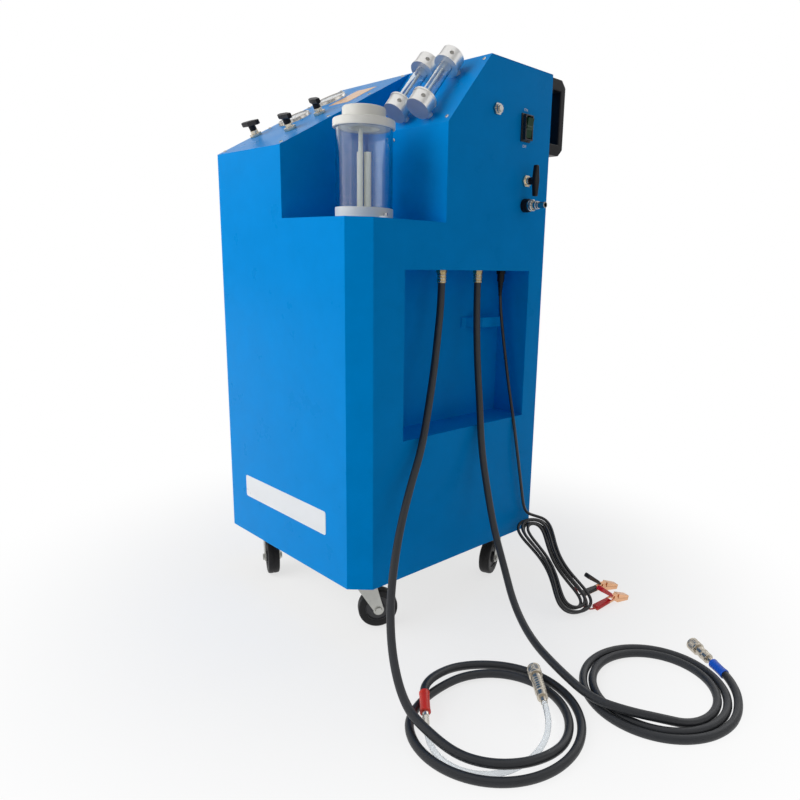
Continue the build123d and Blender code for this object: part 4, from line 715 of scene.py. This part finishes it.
def film(name, seat, size, corner, skin, slot):
    """A thin plate with rounded corners that lies on a seat, centred on it."""
    mesh = bmesh.new()
    bmesh.ops.create_cube(mesh, size=1.0)
    bmesh.ops.scale(mesh, vec=size, verts=mesh.verts)
    bmesh.ops.translate(mesh, vec=(0, 0, size[2] / 2), verts=mesh.verts)
    upright = [e for e in mesh.edges if abs(e.verts[0].co.z - e.verts[1].co.z) > size[2] / 2]
    bmesh.ops.bevel(
        mesh, geom=upright, offset=corner, affect="EDGES", segments=6, profile=0.5, material=-1
    )
    bmesh.ops.transform(mesh, matrix=seat, verts=mesh.verts)
    return keep(name, mesh, "cabinet", slot, skin)


film(
    "front_plate", stand((-0.0418, -0.26525, 0.210), (0, -1, 0)), (0.289, 0.046, 0.0006), 0.005,
    plate_white, "ivory_plastic",
)
slope_out = Vector((0, -0.496448, 0.868067))
slope_up = Vector((0, 0.868067, 0.496448))
slope_foot = Vector((-0.2496, -0.26525, 0.880))
film(
    "amber_strip", stand(slope_foot + Vector((0.145, 0, 0)) + slope_up * 0.257, slope_out),
    (0.066, 0.084, 0.0003), 0.002, film_amber, "brass",
)

# Panel screws. Plated pan heads, each a shallow dome with a cross recess, sit on the panel edges.
screw_steel = finish("screw_steel", (0.7, 0.7, 0.69), 0.25, 400.0, 0.00002, tone=0.08, metallic=1.0)


def screw_places():
    """Seats of the screws, found from the separate solids of their node, in one fixed order."""
    mesh = bmesh.new()
    mesh.from_mesh(frame["nodes"]["panel_screws"].data)
    bmesh.ops.remove_doubles(mesh, verts=mesh.verts, dist=2e-6)
    left = dict.fromkeys(mesh.verts)
    seats = []
    while left:
        grown = [left.popitem()[0]]
        edge = list(grown)
        while edge:
            edge = [e.other_vert(v) for v in edge for e in v.link_edges if e.other_vert(v) in left]
            edge = list(dict.fromkeys(edge))
            grown += edge
            for found in edge:
                del left[found]
        faces = dict.fromkeys(f for v in grown for f in v.link_faces)
        total = {}
        for face in faces:
            way = tuple(round(c, 3) for c in face.normal)
            total[way] = total.get(way, 0) + face.calc_area()
        ends = sorted(total, key=total.get)[-2:]
        flat = [Vector(way).normalized() for way in ends]
        heads = []
        for way in flat:
            level = max(v.co.dot(way) for v in grown)
            rim = [v.co for v in grown if v.co.dot(way) > level - 1e-5]
            centre = sum(rim, Vector()) / len(rim)
            heads.append((max((v - centre).length for v in rim), centre, way))
        seats.append(max(heads, key=lambda head: head[0])[1:])
    mesh.free()
    return sorted(seats, key=lambda seat: tuple(round(c, 4) for c in seat[0]))


screw_outline = [
    (0.0037, -0.0019), (0.0037, -0.0009), (0.0033, -0.0003), (0.0022, 0.0), (0, 0.0001)
]
screws = bmesh.new()
for number, (centre, way) in enumerate(screw_places()):
    head = lathe([(0, -0.0019), *screw_outline], centre, way, 20)
    seat = stand(centre, way, (0.3, 0.2, 1)) @ Matrix.Rotation(number * 1.3, 4, "Z")
    # The cross recess is not cut: two flat bars lie across the dome in a near black, which is
    # painted shade of the hollow.
    for quarter in range(2):
        slot_bar = bmesh.new()
        bmesh.ops.create_cube(slot_bar, size=1.0)
        bmesh.ops.scale(slot_bar, vec=(0.0042, 0.0008, 0.0004), verts=slot_bar.verts)
        bmesh.ops.rotate(
            slot_bar, matrix=Matrix.Rotation(quarter * math.pi / 2, 3, "Z"), verts=slot_bar.verts
        )
        bmesh.ops.transform(slot_bar, matrix=seat, verts=slot_bar.verts)
        for face in slot_bar.faces:
            face.material_index = 1
        head = join(head, slot_bar)
    screws = join(screws, head)
# Painted shade: a near black that stands in for the shadow inside each cross recess.
recess_painted_shade = finish("recess_painted_shade", (0.05, 0.05, 0.052), 0.6, 300.0, 0.00001)
screw_set = keep("cross_head_screws", screws, "cabinet", "screws", screw_steel, recess_painted_shade)
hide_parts("panel_screws")

# Rear handles. Two moulded black bridge handles with bevelled outer corners, bolted to the rear.
handle_plastic = finish(
    "handle_plastic", (0.006, 0.006, 0.008), 0.4, 1100.0, 0.00006, tone=0.15, shine=0.2
)
bridges = keep(
    "bridge_handles", soften("rear_handles", 0.0018), "cabinet", "black_plastic", handle_plastic
)
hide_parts("rear_handles")

# Valves. A plated hexagon nut and neck hold each stem. The handles are moulded black T-pieces.
brass_plated = finish(
    "brass_plated", (0.70, 0.62, 0.48), 0.22, 500.0, 0.00003, tone=0.12, metallic=1.0
)
valves = keep(
    "valve_nuts_and_necks", soften("valve_bodies", 0.0007), "cabinet", "chrome", brass_plated
)
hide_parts("valve_bodies")
cover(
    handle_plastic,
    "valve_handle_left", "valve_handle_middle", "valve_handle_right", "side_valve_handle",
)


def write(text, seat, height, name):
    """Flat lettering on a seat, as a mesh of no thickness that is then given a little."""
    line = bpy.data.curves.new(name, "FONT")
    line.body = text
    line.size = height
    line.align_x = "CENTER"
    line.align_y = "CENTER"
    line.extrude = 0.0001
    writing = bpy.data.objects.new(name, line)
    scene.collection.objects.link(writing)
    bpy.context.view_layer.update()
    shaped = writing.evaluated_get(bpy.context.evaluated_depsgraph_get())
    letters = bpy.data.meshes.new_from_object(shaped)
    bpy.data.objects.remove(writing)
    mesh = bmesh.new()
    mesh.from_mesh(letters)
    bmesh.ops.remove_doubles(mesh, verts=mesh.verts, dist=1e-6)
    bmesh.ops.transform(mesh, matrix=seat, verts=mesh.verts)
    bpy.data.meshes.remove(letters)
    return mesh


# Gauges. Each has a grey steel case with a bright rolled rim, a white dial with a scale of ticks
# and numbers, a black needle and a flat glass.
case_grey = finish("case_grey", (0.42, 0.43, 0.45), 0.3, 400.0, 0.00002, tone=0.08, metallic=0.8)
dial_white = finish("dial_white", (0.86, 0.86, 0.84), 0.5, 300.0, 0.00001, tone=0.02)
ink_black = finish("ink_black", (0.015, 0.015, 0.016), 0.5, 300.0, 0.00001)
needle_joints = ("gauge_needle_lower_turn", "gauge_needle_upper_turn")
gauge_centres = [Vector(j["pos_m"]) for j in frame["joints"] if j["name"] in needle_joints]
rim_outline = [
    (0.0300, 0.0056), (0.0303, 0.0064), (0.0316, 0.0070), (0.0330, 0.0064), (0.0338, 0.0052),
    (0.0338, 0.0018), (0.0344, 0.0010), (0.0344, 0.0), (0.0330, 0.0), (0.0330, 0.0048),
    (0.0300, 0.0048),
]
scale_start, scale_sweep = 225, 270
tick_count, last_number = 40, 10
number_reach = 0.0205
for name, centre in zip(("lower", "upper"), gauge_centres):
    keep(
        "gauge_rim_" + name, lathe(rim_outline, centre, slope_out, 64), "cabinet", "chrome", plated
    )
    seat = stand(centre + slope_out * 0.00103, slope_out)
    dial = lathe(
        [(0.0017, 0), (0.0299, 0), (0.0299, 0.00005), (0.0017, 0.00005)], seat.translation,
        slope_out, 64,
    )
    marks = bmesh.new()
    for step in range(tick_count + 1):
        turn = math.radians(scale_start - scale_sweep * step / tick_count)
        long, wide = (0.0042, 0.0006) if step % 4 == 0 else (0.0024, 0.0003)
        tick = bmesh.new()
        bmesh.ops.create_cube(tick, size=1.0)
        bmesh.ops.scale(tick, vec=(long, wide, 0.0001), verts=tick.verts)
        bmesh.ops.translate(tick, vec=(0.0282 - long / 2, 0, 0.0001), verts=tick.verts)
        bmesh.ops.rotate(tick, matrix=Matrix.Rotation(turn, 3, "Z"), verts=tick.verts)
        bmesh.ops.transform(tick, matrix=seat, verts=tick.verts)
        marks = join(marks, tick)
    for number in range(0, last_number + 1, 2):
        turn = math.radians(scale_start - scale_sweep * number / last_number)
        place = seat @ Matrix.Translation(
            (number_reach * math.cos(turn), number_reach * math.sin(turn), 0.00015)
        )
        marks = join(marks, write(str(number), place, 0.0058, "dial_number"))
    keep("dial_" + name, dial, "cabinet", "gauge_case", dial_white)
    keep("dial_scale_" + name, marks, "cabinet", "needle", ink_black)
cover(case_grey, "gauge_cases")
cover(ink_black, "gauge_needle_lower", "gauge_needle_upper")

# Clear parts. Polished acrylic or glass: the gauge glasses, the flow tubes and the cup's cylinder.
acrylic = finish("acrylic", (0.80, 0.85, 0.89), 0.03, 200.0, 0.000004, tone=0.01)
clear(acrylic, 1.0, 1.45)
cover(acrylic, "gauge_lenses", "flow_glasses")

# Clear cup. A moulded ivory base is bolted to the alcove floor by two ears. Cream standpipes,
# an acrylic cylinder, a stepped collar and a screw lid with upright grips stand on it.
ivory = finish("ivory_plastic", (0.86, 0.85, 0.80), 0.4, 500.0, 0.00004, tone=0.05)
cream = finish("cream_pipe", (0.78, 0.75, 0.66), 0.4, 500.0, 0.00003, tone=0.05)
cup_foot = Vector((0.0924, -0.16725, 0.755))
cylinder_level, collar_level, lid_level = 0.020, 0.152, 0.168
bolt_level, bolt_reach = 0.7612, 0.0525
upward = Vector((0, 0, 1))
base = soften("cup_base", 0.0012)
for face in base.faces:
    middle = face.calc_center_median()
    bolted = middle.z > bolt_level and abs(middle.x - cup_foot.x) > bolt_reach
    face.material_index = 1 if bolted else 0
cup_base = keep("cup_base_flange", base, "cabinet", "ivory_plastic", ivory, screw_steel)
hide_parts("cup_base")
cover(cream, "cup_pipes")
cylinder = keep(
    "cup_clear_cylinder",
    lathe(
        [(0.046, 0.0), (0.050, 0.0), (0.050, 0.132), (0.046, 0.132)],
        cup_foot + upward * cylinder_level, upward, 96,
    ),
    "cabinet", "clear_glass", acrylic,
)
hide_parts("cup_cylinder")
collar = keep(
    "cup_stepped_collar",
    lathe(
        [
            (0.027, 0.0), (0.0532, 0.0), (0.054, 0.0008), (0.054, 0.0115), (0.0532, 0.0135),
            (0.0505, 0.0148), (0.0450, 0.0156), (0.0415, 0.0160), (0.033, 0.0160), (0.033, 0.028),
            (0.027, 0.028),
        ],
        cup_foot + upward * collar_level, upward, 96,
    ),
    "cabinet", "ivory_plastic", ivory,
)
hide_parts("cup_collar")
lid = keep(
    "cup_screw_lid",
    lathe(
        [
            (0, 0.0122), (0.03305, 0.0122), (0.03305, 0.0003), (0.0370, 0.0003), (0.0377, 0.001),
            (0.0377, 0.0150), (0.0371, 0.0168), (0.0358, 0.0182), (0.0340, 0.0187),
            (0.0280, 0.0187), (0.0272, 0.0178), (0, 0.0178),
        ],
        cup_foot + upward * lid_level, upward, 144, 0.0008, (0.0012, 0.0165),
    ),
    "cup_lid_body", "ivory_plastic", ivory,
)
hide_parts("cup_lid")

# Flow tubes. Pale turned end caps stand on posts on the steep panel. Between each pair runs a
# glass tube beside a bright tie rod.
cap_satin = finish("cap_satin", (0.86, 0.85, 0.83), 0.33, 500.0, 0.00003, tone=0.06, metallic=0.75)
caps = keep("flow_end_caps", soften("flow_caps", 0.0009), "cabinet", "flow_caps", cap_satin)
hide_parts("flow_caps")

# Push button. A plated hexagon bezel around a domed, sprung cap.
cover(nickel, "button_bezel", "button_cap")

# Rocker switch. A black moulded housing with a hood around a dark green lens paddle. Its two
# positions are lettered in white on the panel.
housing_black = finish("housing_black", (0.012, 0.012, 0.013), 0.28, 900.0, 0.00003, tone=0.15)
paddle_green = finish(
    "paddle_green", (0.004, 0.05, 0.016), 0.3, 300.0, 0.00001, tone=0.25, shine=0.3
)
housing = keep(
    "rocker_hood", soften("rocker_housing", 0.0007), "cabinet", "black_plastic", housing_black
)
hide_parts("rocker_housing")
cover(paddle_green, "rocker_paddle")
ink_white = finish("ink_white", (0.82, 0.86, 0.9), 0.5, 300.0, 0.00001, tone=0.02)
rocker = Vector((0.1994, 0.13955, 0.942))
for word, rise in (("ON", 0.0325), ("OFF", -0.0335)):
    seat = stand(rocker + upward * rise, (1, 0, 0), (0, 1, 0))
    keep(
        "mark_" + word.lower(), write(word, seat, 0.0072, word), "cabinet", "ivory_plastic",
        ink_white,
    )

# Drain coupler. A black base and plated rings, a shank and a nipple, all turned.
coupler_foot = Vector((0.1994, 0.14845, 0.7992))
side_out = Vector((1, 0, 0))
keep(
    "drain_base",
    lathe(
        [
            (0, 0.0), (0.0126, 0.0), (0.013, 0.0005), (0.013, 0.0105), (0.0122, 0.0135),
            (0.0075, 0.014), (0, 0.014),
        ],
        coupler_foot, side_out, 48, 0.0006, (0.001, 0.0105),
    ),
    "cabinet", "black_plastic", handle_plastic,
)
drain_rings = keep(
    "drain_rings",
    lathe(
        [
            (0, 0.0138), (0.0102, 0.0138), (0.011, 0.0146), (0.011, 0.0174), (0.0092, 0.0182),
            (0.0092, 0.0194), (0.0108, 0.0202), (0.0108, 0.0222), (0.0098, 0.023), (0.007, 0.023),
            (0.007, 0.0285), (0.0078, 0.0292), (0.0078, 0.0316), (0.007, 0.0323), (0.007, 0.0360),
            (0.006, 0.0362), (0.006, 0.0512), (0.0054, 0.052), (0.0037, 0.052), (0.0035, 0.0515),
            (0.0035, 0.030), (0, 0.030),
        ],
        coupler_foot, side_out, 48,
    ),
    "cabinet", "chrome", nickel,
)
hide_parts("drain_coupler")

# Bay fittings. Crimped brass ferrules on hexagons for the hoses, and a black gland whose tapered
# sleeve relieves the cable.
aged_brass = finish("aged_brass", (0.62, 0.47, 0.24), 0.32, 500.0, 0.00004, tone=0.2, metallic=1.0)
gland_edge = 0.11
fittings = soften("bay_fittings", 0.0005)
for face in fittings.faces:
    face.material_index = 1 if face.calc_center_median().y > gland_edge else 0
fittings = keep(
    "bay_hexagons_and_ferrules", fittings, "cabinet", "brass", aged_brass, handle_plastic
)
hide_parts("bay_fittings")
downward = Vector((0, 0, -1))
crimp_outline = [
    (0.0080, 0.0), (0.0084, 0.0), (0.0089, 0.0005), (0.0089, 0.0026), (0.0084, 0.0031),
    (0.0080, 0.0031),
]
crimps = bmesh.new()
for hose_exit in (return_exit, supply_exit):
    for level in (0.6522, 0.6578, 0.6634):
        crimps = join(crimps, lathe(crimp_outline, (*hose_exit[:2], level), downward, 40))
keep("ferrule_crimps", crimps, "cabinet", "brass", brass_plated)
relief_outline = [(0, 0.0), (0.0062, 0.0), (0.0066, 0.001)]
for fold in range(5):
    wide = 0.0062 - fold * 0.0005
    relief_outline += [(wide, 0.003 + fold * 0.005), (wide - 0.0009, 0.0036 + fold * 0.005)]
    relief_outline += [
        (wide - 0.0009, 0.0056 + fold * 0.005), (wide - 0.0004, 0.0064 + fold * 0.005)
    ]
relief_outline += [(0.0036, 0.030), (0, 0.030)]
keep(
    "cable_relief", lathe(relief_outline, (*cable_exit[:2], 0.6510), downward, 32), "cabinet",
    "black_plastic", handle_plastic,
)

# Casters. Zinc-plated plates and pressed forks carry black rubber tyres on dark hubs.
fork_zinc = finish("fork_zinc", (0.50, 0.50, 0.47), 0.34, 320.0, 0.00006, tone=0.2, metallic=0.85)
tyre_rubber = finish(
    "tyre_rubber", (0.008, 0.008, 0.009), 0.5, 700.0, 0.00008, tone=0.25, shine=0.3
)
hub_plastic = finish("hub_plastic", (0.05, 0.05, 0.055), 0.4, 500.0, 0.00005, tone=0.2)
plates = keep(
    "caster_top_plates", soften("caster_plates", 0.0006), "cabinet", "zinc_steel", fork_zinc
)
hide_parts("caster_plates")
tyre_outline = [
    (0.0240, -0.0105), (0.0262, -0.0118), (0.0335, -0.012), (0.0357, -0.0112), (0.037, -0.0092),
    (0.0375, -0.006), (0.0375, -0.0014), (0.0369, -0.0010), (0.0369, 0.0010), (0.0375, 0.0014),
    (0.0375, 0.006), (0.037, 0.0092), (0.0357, 0.0112), (0.0335, 0.012), (0.0262, 0.0118),
    (0.0240, 0.0105),
]
hub_outline = [
    (0.00405, -0.0137), (0.0112, -0.0137), (0.012, -0.0129), (0.012, -0.0085), (0.0135, -0.0070),
    (0.0225, -0.0070), (0.0235, -0.0104), (0.0245, -0.0106), (0.0245, 0.0106), (0.0235, 0.0104),
    (0.0225, 0.0070), (0.0135, 0.0070), (0.012, 0.0085), (0.012, 0.0129), (0.0112, 0.0137),
    (0.00405, 0.0137),
]
for corner in ("front_left", "front_right", "back_right", "back_left"):
    axle = next(j for j in frame["joints"] if j["name"] == "roll_" + corner)
    fork = keep(
        "fork_" + corner, soften("caster_fork_" + corner, 0.0006), "caster_" + corner, "zinc_steel",
        fork_zinc,
    )
    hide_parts("caster_fork_" + corner)
    tyre = keep(
        "tyre_" + corner, lathe(tyre_outline, axle["pos_m"], axle["axis"], 72), "wheel_" + corner,
        "wheel_rubber", tyre_rubber
    )
    keep(
        "hub_" + corner, lathe(hub_outline, axle["pos_m"], axle["axis"], 56), "wheel_" + corner,
        "black_plastic", hub_plastic,
    )
    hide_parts("caster_wheel_" + corner)

# Inside parts. Blow-moulded milky tanks, a satin black pump and rubber lines are seen only
# through gaps.
tank_milky = finish("tank_milky", (0.72, 0.73, 0.70), 0.45, 200.0, 0.0001, tone=0.04)
pump_black = finish("pump_black", (0.03, 0.03, 0.033), 0.35, 400.0, 0.00005, tone=0.12)
cover(tank_milky, "coolant_tanks")
cover(pump_black, "pump")
cover(hose_rubber, "inner_lines")
